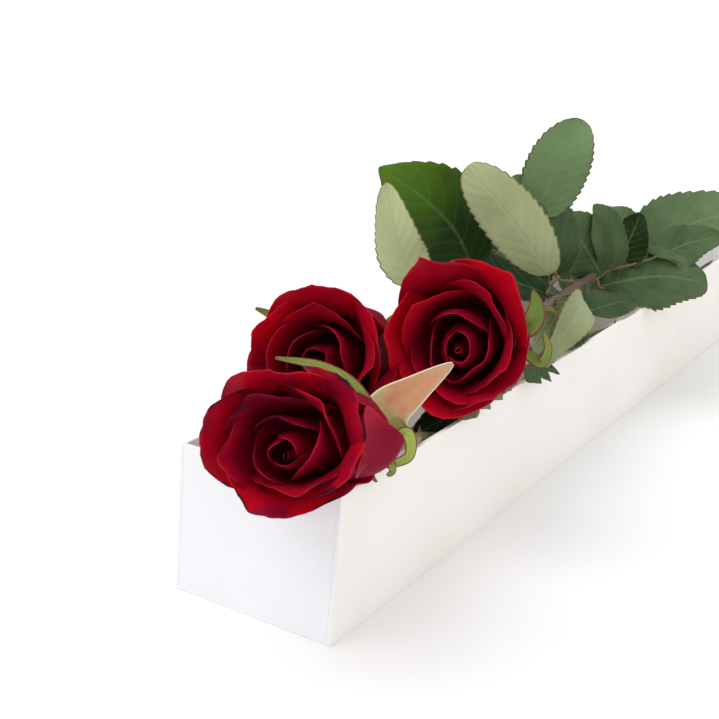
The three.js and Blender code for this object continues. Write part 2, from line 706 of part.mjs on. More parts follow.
const PEACH_SEPAL = { ...SEPAL, halfWidth: 10.5, outline: [0.72, 0.72, 0.25], fold: 0.12,
  up: [0.49, -0.78, 0.39],
  knots: [[-3, 4.5, 1.5], [-2.5, 5.5, 5.5], [-1, 7.5, 15.5], [8.5, 12.5, 26], [23, 19.5, 40.5]] };

// A sepal with its knots moved from the bloom's base into the box.
function placedSepal(name, q) {
  const base = BLOOMS[name].base;
  return { ...q, knots: q.knots.map((p) => p.map((v, k) => v + base[k])) };
}

function makeCalyx(name) {
  const bloom = BLOOMS[name];
  const along = growth(bloom);
  const e = new THREE.Vector3().crossVectors(along, new THREE.Vector3(0, 0, 1)).normalize();
  const f = new THREE.Vector3().crossVectors(along, e);
  const base = vec(bloom.base);
  const put = (p) => base.clone().addScaledVector(e, p.x).addScaledVector(f, p.y)
    .addScaledVector(along, p.z);
  const hip = turned([[0, -9.2], [3.2, -9.2], [5.2, -6], [5.4, -3], [5.8, 0.4], [0, 1]], 8, put);
  const sepals = SEPALS[name].map((q) => makeBlade(placedSepal(name, q), 5));
  return fuse([hip, ...sepals]);
}

// Box panels: the sides run the full length and show their board edge at the near end, the
// ends are set between them, and all stand on the floor panel.
const panels = {
  box_base: [[-SIDE_X, -END_Y, 0], [SIDE_X, END_Y, BOARD]],
  box_side_left: [[-SIDE_X, -END_Y, BOARD], [-SIDE_X + BOARD, END_Y, BOX_HEIGHT]],
  box_side_right: [[SIDE_X - BOARD, -END_Y, BOARD], [SIDE_X, END_Y, BOX_HEIGHT]],
  box_end_near: [[-SIDE_X + BOARD, -END_Y, BOARD], [SIDE_X - BOARD, -END_Y + BOARD, BOX_HEIGHT]],
  box_end_far: [[-SIDE_X + BOARD, END_Y - BOARD, BOARD], [SIDE_X - BOARD, END_Y, BOX_HEIGHT]],
};
const solids = {};
const keepOut = [];
for (const [name, [low, high]] of Object.entries(panels)) {
  solids[name] = block(low, high);
  keepOut.push(block(low.map((v) => v - GAP), high.map((v) => v + GAP)));
}
const wallRoom = Manifold.union(keepOut);

// How many triangles are thinner than 10 micrometres.
function slivers({ points, triangles }) {
  return triangles.filter((face) => {
    const [a, b, c] = face.map((i) => points[i]);
    const longest = Math.max(a.distanceTo(b), b.distanceTo(c), c.distanceTo(a));
    return b.clone().sub(a).cross(c.clone().sub(a)).length() < 0.01 * longest;
  }).length;
}

// A finished solid: clear of the box and of what is already placed, smoothed as far as gives
// one clean surface with the fewest slivers and a true gap to each neighbour.
function settle(solid, neighbours, tolerance) {
  const open = mainPiece(solid.subtract(wallRoom)).asOriginal();
  let best = null;
  let lowest = Infinity;
  for (let part = 1.2; part > 0.5; part -= 0.05) {
    const smooth = mainPiece(open.simplify(part * tolerance));
    const clear = clearOf(smooth, neighbours, GAP).asOriginal().simplify(0.1 * part);
    const shape = gridded(mainPiece(clear));
    if (looseEdges(shape) > 0) continue;
    const whole = solidFrom(shape.points, shape.triangles);
    if (whole.decompose().length > 1) continue;
    const tight = neighbours.filter((neighbour) => whole.minGap(neighbour, 1) < 0.12).length;
    const score = slivers(shape) + 30 * tight + shape.triangles.length / 40;
    if (score < lowest) [best, lowest] = [whole, score];
  }
  return best ?? mainPiece(clearOf(open, neighbours, GAP));
}

// Blooms first, then what fits around them.
const names = ['rose1', 'rose2', 'rose3'];
const blooms = [];
for (const name of ['rose1', 'rose3', 'rose2']) {
  const bloom = settle(makeBloom(BLOOMS[name]), blooms, 0.18);
  solids[`${name}_bloom`] = bloom;
  blooms.push(bloom);
}
const placed = [...blooms];
for (const name of names) {
  const calyx = settle(makeCalyx(name), placed, 0.08);
  solids[`${name}_calyx`] = calyx;
  placed.push(calyx);
}
solids.rose1_outer_sepal = settle(makeBlade(placedSepal('rose1', PEACH_SEPAL), 8), placed, 0.05);
placed.push(solids.rose1_outer_sepal);
for (const name of names) {
  const stem = settle(makeStem(name), placed, 0.08);
  solids[`${name}_stem`] = stem;
  placed.push(stem);
}
for (const [name, leaf] of Object.entries(LEAVES)) {
  const solid = settle(makeLeaf(leaf), placed, 0.08);
  solids[name] = solid;
  placed.push(solid);
}

const COLOURS = {
  box: 0xf1efec,
  bloom: 0x8f0612,
  calyx: 0x8a9a3c,
  outer: 0xd9a078,
  stem: 0x6d5a3a,
  leaf: 0x46683a,
};

function meshOf(name, solid) {
  const { vertProperties, triVerts } = solid.getMesh();
  const geometry = new THREE.BufferGeometry();
  geometry.setAttribute('position', new THREE.Float32BufferAttribute(vertProperties, 3));
  geometry.setIndex(new THREE.Uint32BufferAttribute(triVerts, 1));
  geometry.computeVertexNormals();
  const kind = Object.keys(COLOURS).find((key) => name.includes(key));
  const material = new THREE.MeshStandardMaterial({ color: COLOURS[kind], roughness: 0.6 });
  material.name = kind;
  const mesh = new THREE.Mesh(geometry, material);
  mesh.name = name;
  return mesh;
}

const roseBox = new THREE.Group();
roseBox.name = 'rose_box';
for (const [name, solid] of Object.entries(solids)) {
  roseBox.add(meshOf(name, solid));
}
export default roseBox;
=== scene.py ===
# A long white gift box with three red long-stemmed roses lying in it.
import math
import bpy
import numpy as np
from mathutils import Matrix, Vector


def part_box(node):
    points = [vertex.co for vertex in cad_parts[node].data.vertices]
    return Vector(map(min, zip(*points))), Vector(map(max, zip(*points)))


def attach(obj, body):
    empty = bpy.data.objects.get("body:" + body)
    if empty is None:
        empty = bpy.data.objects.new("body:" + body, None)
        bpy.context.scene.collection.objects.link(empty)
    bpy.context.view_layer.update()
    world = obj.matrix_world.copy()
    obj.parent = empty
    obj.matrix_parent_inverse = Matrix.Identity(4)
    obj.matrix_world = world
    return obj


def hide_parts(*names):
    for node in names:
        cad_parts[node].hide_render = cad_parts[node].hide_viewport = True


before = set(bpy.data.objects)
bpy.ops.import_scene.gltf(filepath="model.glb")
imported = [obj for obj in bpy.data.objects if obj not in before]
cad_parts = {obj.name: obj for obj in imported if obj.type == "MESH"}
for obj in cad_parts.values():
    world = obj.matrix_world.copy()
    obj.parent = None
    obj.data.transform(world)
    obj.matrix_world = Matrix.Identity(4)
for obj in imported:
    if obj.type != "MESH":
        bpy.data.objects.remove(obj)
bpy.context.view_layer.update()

# View: the camera stands in front of the near end of the box, to its right and above it, as in
# the photograph. Its place and turn were worked out from the corners of the box.
FOCAL_PIXELS, FRAME_PIXELS, SENSOR_MM = 1327.6, 719, 36
YAW, PITCH, ROLL = (math.radians(a) for a in (29.408, 18.681, 4.5))
STAND = Vector((0.3108, -0.7903, 0.3217))
NEAREST = 0.01
ahead = Vector((-math.sin(YAW) * math.cos(PITCH), math.cos(YAW) * math.cos(PITCH),
                -math.sin(PITCH)))
level = Vector((math.cos(YAW), math.sin(YAW), 0))
above = level.cross(ahead)
side = math.cos(ROLL) * level + math.sin(ROLL) * above
top = math.cos(ROLL) * above - math.sin(ROLL) * level
turn = Matrix((side, top, -ahead)).transposed().to_4x4()
lens = bpy.data.cameras.new("view")
lens.sensor_width = SENSOR_MM
lens.lens = FOCAL_PIXELS / FRAME_PIXELS * SENSOR_MM
lens.clip_start = NEAREST
view = bpy.data.objects.new("view", lens)
view.matrix_world = Matrix.Translation(STAND) @ turn
bpy.context.collection.objects.link(view)
bpy.context.scene.camera = view
bpy.context.scene.view_settings.view_transform = "Standard"

# Light: soft daylight from a large window to the left of and behind the camera, and a bright
# white room all round that fills the shadows.
ROOM_STRENGTH = 0.97
WINDOW_STRENGTH = 1.0
WINDOW_SPREAD = math.radians(40)
WINDOW_RAYS = Vector((0.40, 0.60, -1.1))
world = bpy.data.worlds.new("room")
bpy.context.scene.world = world
world.use_nodes = True
world.node_tree.nodes["Background"].inputs["Color"].default_value = (1.0, 1.0, 1.0, 1)
world.node_tree.nodes["Background"].inputs["Strength"].default_value = ROOM_STRENGTH
window = bpy.data.lights.new("window", "SUN")
window.energy = WINDOW_STRENGTH
window.angle = WINDOW_SPREAD
window_stand = bpy.data.objects.new("window", window)
window_stand.rotation_euler = WINDOW_RAYS.to_track_quat("-Z", "Y").to_euler()
bpy.context.collection.objects.link(window_stand)


# Floor: a plain pale table top that the box stands on, wide enough to fill the view. Its sides
# are in metres.
FLOOR_LEFT, FLOOR_RIGHT, FLOOR_NEAR, FLOOR_FAR = -30, 30, -10, 40


class Value:
    """A value inside a material. Arithmetic on it adds Math nodes, and node() adds any other."""

    def __init__(self, tree, socket=None):
        self.tree = tree
        self.socket = socket

    def node(self, kind, settings, inputs, out=0):
        """Add a node: first its settings, with a ramp's stops as (place, colour), then the
        values or links of its sockets, by name or number."""
        made = self.tree.nodes.new("ShaderNode" + kind)
        for name, setting in settings.items():
            if name != "stops":
                setattr(made, name, setting)
                continue
            ramp = made.color_ramp
            while len(ramp.elements) < len(setting):
                ramp.elements.new(0.5)
            for element, (place, colour) in zip(ramp.elements, setting):
                element.position = place
                element.color = (*colour, 1)
        for name, value in inputs.items():
            if isinstance(value, Value):
                self.tree.links.new(value.socket, made.inputs[name])
            else:
                made.inputs[name].default_value = value
        return Value(self.tree, made.outputs[out])

    def maths(self, operation, *numbers):
        return self.node("Math", {"operation": operation}, dict(enumerate(numbers)))

    def __add__(self, other):
        return self.maths("ADD", self, other)

    def __sub__(self, other):
        return self.maths("SUBTRACT", self, other)

    def __rsub__(self, other):
        return self.maths("SUBTRACT", other, self)

    def __mul__(self, other):
        return self.maths("MULTIPLY", self, other)

    def __abs__(self):
        return self.maths("ABSOLUTE", self)

    __radd__ = __add__
    __rmul__ = __mul__

    def coordinates(self, kind="Object"):
        """Where a point lies on the piece, or for the kind Normal which way its face points."""
        return self.node("TexCoord", {}, {}, out=kind)

    def axis(self, letter):
        """The X, Y or Z of these coordinates."""
        return self.node("SeparateXYZ", {}, {"Vector": self}, out=letter)

    def step(self, low, high):
        """Smooth rise from 0 at low to 1 at high."""
        return self.node("MapRange", {"interpolation_type": "SMOOTHSTEP"},
                         {"Value": self, "From Min": low, "From Max": high})

    def mix(self, first, second):
        """Colour between first and second, as far along as this value says. The Mix node has
        its two colours in sockets 6 and 7 and gives the mixed one in socket 2."""
        first, second = (c if isinstance(c, Value) else (*c, 1) for c in (first, second))
        return self.node("Mix", {"data_type": "RGBA"}, {0: self, 6: first, 7: second}, out=2)

    def noise(self, scale, detail=3.0, stretch=(1, 1, 1)):
        """Cloudy pattern of that many lumps to the metre, on this set of coordinates."""
        spread = self.node("Mapping", {}, {"Vector": self, "Scale": stretch})
        return self.node("TexNoise", {}, {"Vector": spread, "Scale": scale, "Detail": detail})


def finish(name, constants):
    """New material: its shader with the constant sockets set, and its empty value to build on."""
    material = bpy.data.materials.new(name)
    material.use_nodes = True
    shader = material.node_tree.nodes["Principled BSDF"]
    for socket, constant in constants.items():
        shader.inputs[socket].default_value = constant
    return material, shader, Value(material.node_tree)


def feed(shader, socket, value):
    """Link a worked-out value to a socket of the shader."""
    value.tree.links.new(value.socket, shader.inputs[socket])


def relief(shader, height, depth):
    """Raise the surface by a height pattern, up to depth in metres, through a bump."""
    bump = height.node("Bump", {}, {"Height": height, "Distance": depth, "Strength": 1.0})
    feed(shader, "Normal", bump)


table, shader, start = finish("table_top", {"Roughness": 0.6, "Specular IOR Level": 0.2})
clouds = start.coordinates().noise(3.0)
feed(shader, "Base Color", clouds.mix((0.88, 0.88, 0.88), (0.92, 0.92, 0.92)))
floor_mesh = bpy.data.meshes.new("floor")
floor_mesh.from_pydata([(FLOOR_LEFT, FLOOR_NEAR, 0), (FLOOR_RIGHT, FLOOR_NEAR, 0),
                        (FLOOR_RIGHT, FLOOR_FAR, 0), (FLOOR_LEFT, FLOOR_FAR, 0)],
                       [], [(0, 1, 2, 3)])
floor_mesh.materials.append(table)
floor = bpy.data.objects.new("floor", floor_mesh)
bpy.context.collection.objects.link(floor)


# Box: a rigid white gift box without its lid, 650 by 90 by 77 mm. Five panels of 2.2 mm board
# wrapped in smooth white paper: the sides run the full length, the ends are set between them.
# The paper is painted a little cooler on the ends and warmer on the sides: painted light. Sizes in
# mm.
BOX_WIDTH, BOX_LENGTH, BOARD = 90, 650, 2.2
WORN_EDGE = 0.35
MM_PER_METRE = 1000
PANELS = ("box_base", "box_side_left", "box_side_right", "box_end_near", "box_end_far")
# Painted light: one white paper, tinted warm on the sides and cool on the ends for the light that
# falls on them.
SIDE_PAPER_PAINTED_WARM_LIGHT = ((0.89, 0.845, 0.80), (0.935, 0.895, 0.855))
END_PAPER_PAINTED_COOL_LIGHT = ((0.80, 0.80, 0.83), (0.85, 0.85, 0.88))
# Corners of a block, at its low or its high end in x, y and z, and its faces by corner.
AT_HIGH_END = np.array([(x, y, z) for x in (0, 1) for y in (0, 1) for z in (0, 1)], bool)
BLOCK_FACES = np.array([(0, 1, 3, 2), (4, 6, 7, 5), (0, 4, 5, 1), (2, 3, 7, 6), (0, 2, 6, 4),
                        (1, 5, 7, 3)])


def add_piece(name, points, faces, materials, kinds=None, places=None, marks=None, smooth=True):
    """One object from points and faces, with a material number for each face, a place on the
    surface (u, v) for each point and named marks, one number for each point."""
    mesh = bpy.data.meshes.new(name)
    mesh.from_pydata(points.tolist(), [], faces.tolist())
    for material in materials:
        mesh.materials.append(material)
    if kinds is not None:
        mesh.polygons.foreach_set("material_index", kinds)
    if places is not None:
        corners = np.empty(len(mesh.loops), np.int32)
        mesh.loops.foreach_get("vertex_index", corners)
        mesh.uv_layers.new(name="place").data.foreach_set("uv", places[corners].ravel())
    for mark, values in (marks or {}).items():
        mesh.attributes.new(mark, "FLOAT", "POINT").data.foreach_set("value", values)
    mesh.polygons.foreach_set("use_smooth", np.full(len(faces), smooth))
    mesh.update()
    piece = bpy.data.objects.new(name, mesh)
    bpy.context.collection.objects.link(piece)
    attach(piece, "root")
    return piece


board, shader, start = finish("wrapped_board", {"Specular IOR Level": 0.35, "Sheen Weight": 0.05})
objects = start.coordinates()
fibres = objects.noise(900.0, 4.0, (1, 0.35, 1))
clouds = objects.noise(14.0)
paper = (clouds * 0.7 + fibres * 0.3).step(0.3, 0.7)
# Painted light: faces that look along the box get the cool end tint, the others the warm side tint.
painted_light_on_end = abs(start.coordinates("Normal").axis("Y")).step(0.5, 0.9)
feed(shader, "Base Color", painted_light_on_end.mix(paper.mix(*SIDE_PAPER_PAINTED_WARM_LIGHT), paper.mix(*END_PAPER_PAINTED_COOL_LIGHT)))
feed(shader, "Roughness", fibres * 0.2 + 0.5)
relief(shader, fibres + clouds * 0.6, 0.00005)
for node in PANELS:
    low, high = (np.array(corner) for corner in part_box(node))
    panel = add_piece(node + "_panel", np.where(AT_HIGH_END, high, low), BLOCK_FACES, [board],
                      smooth=False)
    edge = panel.modifiers.new("worn_edge", "BEVEL")
    edge.width = WORN_EDGE / MM_PER_METRE
    edge.segments = 3
    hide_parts(node)


# Blooms: three half-open crimson roses, heads 60 to 70 mm across. Each petal is a velvety sheet
# that grows from the base and wraps round the heart; the inner rims close over it, the outer
# ones roll outwards. Sizes in mm.
PETAL_THICKNESS = 0.5
PETAL_ACROSS, PETAL_ALONG = 26, 30
# A bloom grows from base, its heart is at centre and its face looks along axis. drift moves
# its outer rings right and up, age dries its rims and stem_tone browns its stem. placed sets
# the petals of a ring one by one: the degrees round the bloom, the reach of the rim as a part
# of the usual one, and how far the middle of the rim is drawn out to a point.
BLOOMS = {
    "rose1": dict(base=(45.5, -294.3, 90.7), centre=(32.8, -352, 101), axis=(0.35, -0.871, 0.344),
                  seed=3, turn=0.3, diameter=52, stretch=1.1, drift=(-1, 7),
                  age=1.0, stem_tone=0.1,
                  placed={3: ((50, 1, 2), (120, 1, 1.5), (195, 1.05, 2), (290, 0.95, 1.5)),
                          4: ((32, 1.1, 1), (100, 0.95, 1.5), (175, 1.04, 2), (250, 0.95, 4),
                              (330, 0.95, 1))}),
    "rose2": dict(base=(-16, -195.4, 98.3), centre=(-17.4, -252, 105), axis=(0.349, -0.85, 0.394),
                  seed=5, turn=1.3, diameter=62, stretch=0.98, drift=(2, 2),
                  age=0.35, stem_tone=0.5,
                  placed={4: ((95, 1, 1.5), (155, 0.93, 1.5), (212, 1.07, 2), (300, 0.95, 2),
                              (20, 0.9, 2))}),
    "rose3": dict(base=(36.3, -152.5, 109.1), centre=(39.9, -208.1, 114.5),
                  axis=(0.35, -0.903, 0.25), seed=8, turn=2.3, diameter=70, stretch=0.88,
                  drift=(0, 5), age=0.15, stem_tone=1.0,
                  placed={4: ((118, 1, 9), (176, 0.98, 2), (240, 0.95, 2), (305, 0.84, 2),
                              (45, 1.02, 3))}),
}
# The way to the right on a bloom's face, and the part of its height at which its centre lies.
FACE_RIGHT = (0.86, 0.51, 0.07)
HEART_HEIGHT = 0.80
# The rings of petals, from the tight heart to the outermost. rim, shoulder and belly are parts
# of the bloom's radius, height is a part of its height, and half_width is that of a petal on a
# bloom of USUAL_RADIUS. flatness widens the arc that a petal is bent on, tuck slips one edge
# under the next, curl rolls the rim outwards, ripple waves it and point draws its middle out.
# A petal is widest at WIDEST of its height.
COUNT = (2, 3, 3, 4, 5)
LAST_RING = len(COUNT) - 1
RING_TURN = (0, 0.6, 1.5, 0.3, 0)
HABIT = dict(
    rim=(0.05, 0.2, 0.42, 0.76, 1.08),
    shoulder=(0.13, 0.31, 0.5, 0.69, 0.86),
    belly=(0.15, 0.32, 0.48, 0.64, 0.77),
    height=(0.88, 0.94, 0.98, 1, 0.97),
    half_width=(9, 17, 22, 27, 31),
    flatness=(1, 1.02, 1.05, 1.15, 1.3),
    tuck=(0.9, 1.8, 2.6, 3.2, 3.2),
    curl=(-1.5, -0.5, 1.4, 3.2, 5.2),
    ripple=(0.1, 0.3, 0.6, 0.9, 1.1),
    point=(0, 0.4, 1.2, 1.8, 2.2),
)
USUAL_RADIUS = 33
WIDEST = 0.62
CRIMP = 0.35
# The rim of the box, with some clearance for what hangs over it: its height, its reach each way
# from the middle of the board, how fast it falls off beyond and how softly it lifts.
RIM_HEIGHT, RIM_REACH, RIM_FALL, RIM_SOFTNESS = 77.6, 1.4, 0.12, 2.6
DARKER_PETAL = (0.17, 0.0, 0.018)
# Dull purple of bruising on the aged bloom and of a painted velvet sheen.
BRUISE_AND_SHEEN_PURPLE = (0.06, 0.001, 0.024)
# Light passes a little way into a petal, and its red the furthest.
PETAL_FLESH = {"Subsurface Weight": 0.6, "Subsurface Scale": 0.002,
               "Subsurface Radius": (1.0, 0.1, 0.25)}


def jitter(seed, index):
    """Repeatable number from -1 to 1: the fraction of a large multiple of a sine."""
    value = math.sin(seed * 78.233 + index * 12.9898) * 43758.5453
    return 2 * (value - math.floor(value)) - 1


def unit(vectors):
    """Vectors brought to length 1, along their last axis."""
    return vectors / (np.linalg.norm(vectors, axis=-1, keepdims=True) + 1e-12)


def ease(x):
    """Smooth rise from 0 to 1: 3x^2 - 2x^3, level outside."""
    x = np.clip(x, 0, 1)
    return x * x * (3 - 2 * x)


def curve(knots, x):
    """Catmull-Rom curve through evenly spaced knots, read at every x from 0 to 1."""
    knots = np.array(knots, float)
    last = len(knots) - 1
    run = np.concatenate(([2 * knots[0] - knots[1]], knots, [2 * knots[-1] - knots[-2]]))
    along = np.clip(x, 0, 1) * last
    i = np.minimum(along.astype(int), last - 1)
    f = (along - i)[..., None]
    a, b, c, d = (run[i + k] for k in range(4))
    return 0.5 * (2 * b + (c - a) * f + (2 * a - 5 * b + 4 * c - d) * f ** 2
                  + (3 * b - a - 3 * c + d) * f ** 3)


def surface_grid(along, across):
    """s from 0 to 1 along a sheet and t from -1 to 1 across it, at every point of its grid."""
    return np.meshgrid(np.linspace(0, 1, along + 1), np.linspace(-1, 1, across + 1),
                       indexing="ij")


def over_rim(points):
    """Points bent up over the rims of the near end and of the right side: height becomes
    rim + soft ln(1 + e^((height - rim) / soft)), and the rim falls off with the square of the
    distance from the board."""
    x, y, z = np.moveaxis(points, -1, 0)
    end = (np.maximum(0, abs(y + BOX_LENGTH / 2 - BOARD / 2) - RIM_REACH) ** 2
           + np.maximum(0, abs(x) - BOX_WIDTH / 2) ** 2)
    side = (np.maximum(0, abs(x - BOX_WIDTH / 2 + BOARD / 2) - RIM_REACH) ** 2
            + np.maximum(0, -BOX_LENGTH / 2 - y) ** 2)
    rim = RIM_HEIGHT - RIM_FALL * np.minimum(end, side)
    lifted = rim + RIM_SOFTNESS * np.logaddexp(0, (z - rim) / RIM_SOFTNESS)
    return np.stack([x, y, lifted], -1)


def bloom_frame(bloom):
    """Base of a bloom, its unit vectors to the right, upwards and along its axis, the way from
    its base to its centre, and how far that rises along the axis."""
    base, axis = np.array(bloom["base"]), unit(np.array(bloom["axis"]))
    right = unit(np.array(FACE_RIGHT) - axis * np.dot(FACE_RIGHT, axis))
    reach = np.array(bloom["centre"]) - base
    return base, right, np.cross(axis, right), axis, reach, reach @ axis


def bloom_place(bloom, x, y, z):
    """Points of a bloom's own frame in the box: base + x right + y up + z axis, and the lean
    times 1 - (1 - z / rise)^2, where lean is what the centre lies off the axis."""
    base, right, up, axis, reach, rise = bloom_frame(bloom)
    share = 1 - (1 - np.clip(z / rise, 0, 1)[..., None]) ** 2
    return (base + x[..., None] * bloom["stretch"] * right + y[..., None] * up
            + z[..., None] * axis + share * (reach - rise * axis))


def petal(bloom, ring, i):
    """Grid of petal i of a ring: a strip whose height line is a curve in radius and height,
    wrapped on an arc of radius bow, rounded above, and one edge tucked under. The rim is
    rolled in or out, rippled by a sine across it and crimped by the product of two faster
    ones, and the whole leans over from the base to the centre of the bloom. Returns s and t,
    its places along and across, and the points."""
    u = ring / LAST_RING
    radius = bloom["diameter"] / 2
    now = {name: values[ring] for name, values in HABIT.items()}
    taller, swung, curled, rippled, beat, phase, pointed, skewed = (
        jitter(bloom["seed"], 40 * ring + 8 * i + n) for n in range(8))
    turned = bloom["turn"] + RING_TURN[ring] + 2 * math.pi * i / COUNT[ring] + 0.14 * swung
    reach, point = 1 + 0.06 * skewed, now["point"] * (1 + pointed)
    if ring in bloom["placed"]:
        turned, reach, point = bloom["placed"][ring][i]
        turned = math.radians(turned)
    *_, rise = bloom_frame(bloom)
    height = now["height"] * rise / HEART_HEIGHT * (1 + 0.02 * taller)
    belly = now["belly"] * radius
    shoulder = now["shoulder"] * radius * (0.5 + 0.5 * reach)
    height_line = [(3 + 2 * u, 1 + 3 * (1 - u)), (belly * (0.60 + 0.24 * u), 0.14 * height),
                   (belly, 0.42 * height), (shoulder, 0.76 * height),
                   (now["rim"] * radius * reach, height)]
    s, t = surface_grid(PETAL_ALONG, PETAL_ACROSS)
    rounded = s * (1 - 0.05 * t ** 2 - 0.27 * t ** 4)
    r, z = np.moveaxis(curve(height_line, rounded), -1, 0)
    r = r + point * np.exp(-abs(t + 0.075 * skewed) / 0.3) * s ** 6
    half = now["half_width"] * radius / USUAL_RADIUS * (0.2 + 0.8 * ease(rounded / WIDEST) ** 0.8)
    half = half * (1 - 0.22 * ease((rounded - WIDEST) / (1 - WIDEST)))
    bow = np.maximum(now["flatness"] * np.maximum(r, 2.5), 2)
    x = r - bow + bow * np.cos(t * half / bow) + now["tuck"] * t * ease(s / 0.3)
    y = bow * np.sin(t * half / bow)
    curl = now["curl"] * (1 + 0.3 * curled) * ease((s - 0.5) / 0.5)
    curl = curl * (0.35 + 0.65 * ease((abs(t + 0.15 * skewed) - 0.2) / 0.8))
    ripple = now["ripple"] * (1 + 0.4 * rippled) * ease((s - 0.55) / 0.45)
    ripple = ripple * np.sin((4.5 + 1.5 * beat) * t + 3 * phase)
    crimp = CRIMP * u * np.sin(17 * t + 6 * phase) * np.sin(9 * t + 5 * beat)
    crimp = crimp * ease((s - 0.8) / 0.2)
    for push in (curl, ripple, crimp):
        grow = 1 + push / (np.hypot(x, y) + 1e-9)
        x, y = x * grow, y * grow
    shift = ease(s / 0.8) * u
    right = x * math.cos(turned) - y * math.sin(turned) + bloom["drift"][0] * shift
    up = x * math.sin(turned) + y * math.cos(turned) + bloom["drift"][1] * shift
    z = z - 0.6 * curl + 0.5 * ripple + 0.5 * crimp
    return s, t, over_rim(bloom_place(bloom, right, up, z))


def shell(s, t, grid, thickness):
    """Closed thin sheet round a grid in mm: both faces half the thickness off it along its
    normals, and a rounded edge half the thickness outside the border. Returns its points in
    metres, its faces, their kinds (0 upper, 1 lower, 2 edge) and the place of each point."""
    rows, columns = grid.shape[:2]
    normal = unit(np.cross(np.gradient(grid, axis=0), np.gradient(grid, axis=1)))
    number = np.arange(rows * columns).reshape(rows, columns)
    border = np.concatenate((number[0, :-1], number[:-1, -1], number[-1, :0:-1],
                             number[:0:-1, 0]))
    flat, off = grid.reshape(-1, 3), normal.reshape(-1, 3) * thickness / 2
    ring = flat[border]
    outward = unit(np.cross(off[border], np.roll(ring, -1, 0) - np.roll(ring, 1, 0)))
    points = np.concatenate((flat + off, flat - off, ring + outward * thickness / 2))
    a, b, c, d = number[:-1, :-1], number[:-1, 1:], number[1:, 1:], number[1:, :-1]
    upper = np.stack((a, d, c, b), -1).reshape(-1, 4)
    lower = upper[:, ::-1] + rows * columns
    rim = np.arange(len(border)) + 2 * rows * columns
    after, rim_after = np.roll(border, -1), np.roll(rim, -1)
    over = np.stack((border, after, rim_after, rim), -1)
    under = np.stack((rim, rim_after, after + rows * columns, border + rows * columns), -1)
    faces = np.concatenate((upper, lower, over, under))
    kinds = np.repeat((0, 1, 2), (len(upper), len(lower), 2 * len(border)))
    place = np.stack((t / 2 + 0.5, s), -1).reshape(-1, 2)
    place = np.concatenate((place, place, place[border]))
    return points / MM_PER_METRE, faces, kinds, place


def join(parts):
    """Several (points, faces, kinds, places, marks) put after one another as one."""
    points, faces, kinds, places, marks = zip(*parts)
    starts = np.cumsum([0] + [len(p) for p in points[:-1]])
    return (np.concatenate(points), np.concatenate([f + n for f, n in zip(faces, starts)]),
            np.concatenate(kinds), np.concatenate(places),
            {name: np.concatenate([m[name] for m in marks]) for name in marks[0]})


def point_mark(start, name):
    """The number that a piece's points carry under this name."""
    return start.node("Attribute", {"attribute_name": name}, {}, out="Fac")


def surface_place(start):
    """The place on a sheet or rod: across it in X and along it in Y, both from 0 to 1."""
    return start.node("UVMap", {"uv_map": "place"}, {}, out="UV")


def petal_material(name, shade_and_vein, bright, outermost, dry, constants):
    """Velvety crimson, some petals darker than others: painted shade towards the base and on the
    inner rings, painted light brightening it towards the rim, of another tone on the outermost
    petals, clouded, finely veined along its height, dull purple in patches of bruising on the
    aged bloom and of painted velvet sheen, and dried to a purple black at the very rim where the
    bloom is aged."""
    material, shader, start = finish(name, PETAL_FLESH | constants)
    objects, places = start.coordinates(), surface_place(start)
    along = places.axis("Y")
    age, ring, tone = (point_mark(start, title) for title in ("age", "ring", "tone"))
    clouds = objects.noise(70.0, 4.0)
    veins = places.noise(9.0, 3.0, (7, 0.5, 1))
    fibres = places.noise(40.0, 2.0, (3, 0.25, 1))
    # Painted shade: darker towards the petal's base and on the inner rings, where the bloom's
    # recesses lie in shade; painted light brightens it towards the rim.
    painted_shade_to_lit_rim = (along.step(0.35, 1.0) + clouds * 0.6 - 0.3) * (ring * 0.35 + 0.65)
    colour = (ring.step(0.7, 0.95) * (1 - along.step(0.6, 0.9) * 0.75)).mix(bright, outermost)
    colour = painted_shade_to_lit_rim.mix(shade_and_vein, colour)
    colour = ((tone + clouds * 0.6 - 0.3) * 0.6).mix(colour, DARKER_PETAL)
    colour = (veins.step(0.45, 0.75) * 0.35 + fibres.step(0.4, 0.7) * 0.2).mix(colour, shade_and_vein)
    # Dull purple patches near the rim: partly bruising, stronger on the aged bloom, and partly a
    # painted velvet sheen.
    bruise_and_sheen = objects.noise(38.0).step(0.45, 0.60) * along.step(0.55, 0.95)
    colour = (bruise_and_sheen * (age * 0.55 + 0.10)).mix(colour, BRUISE_AND_SHEEN_PURPLE)
    patches = objects.noise(36.0).step(0.42, 0.64)
    dried = (along + clouds * 0.10 + patches * 0.05).step(1.045, 1.085) * age
    feed(shader, "Base Color", dried.mix(colour, dry))
    feed(shader, "Roughness", clouds * 0.2 + 0.42)
    relief(shader, veins + fibres * 0.3 + objects.noise(2500.0) * 0.25, 0.00012)
    return material


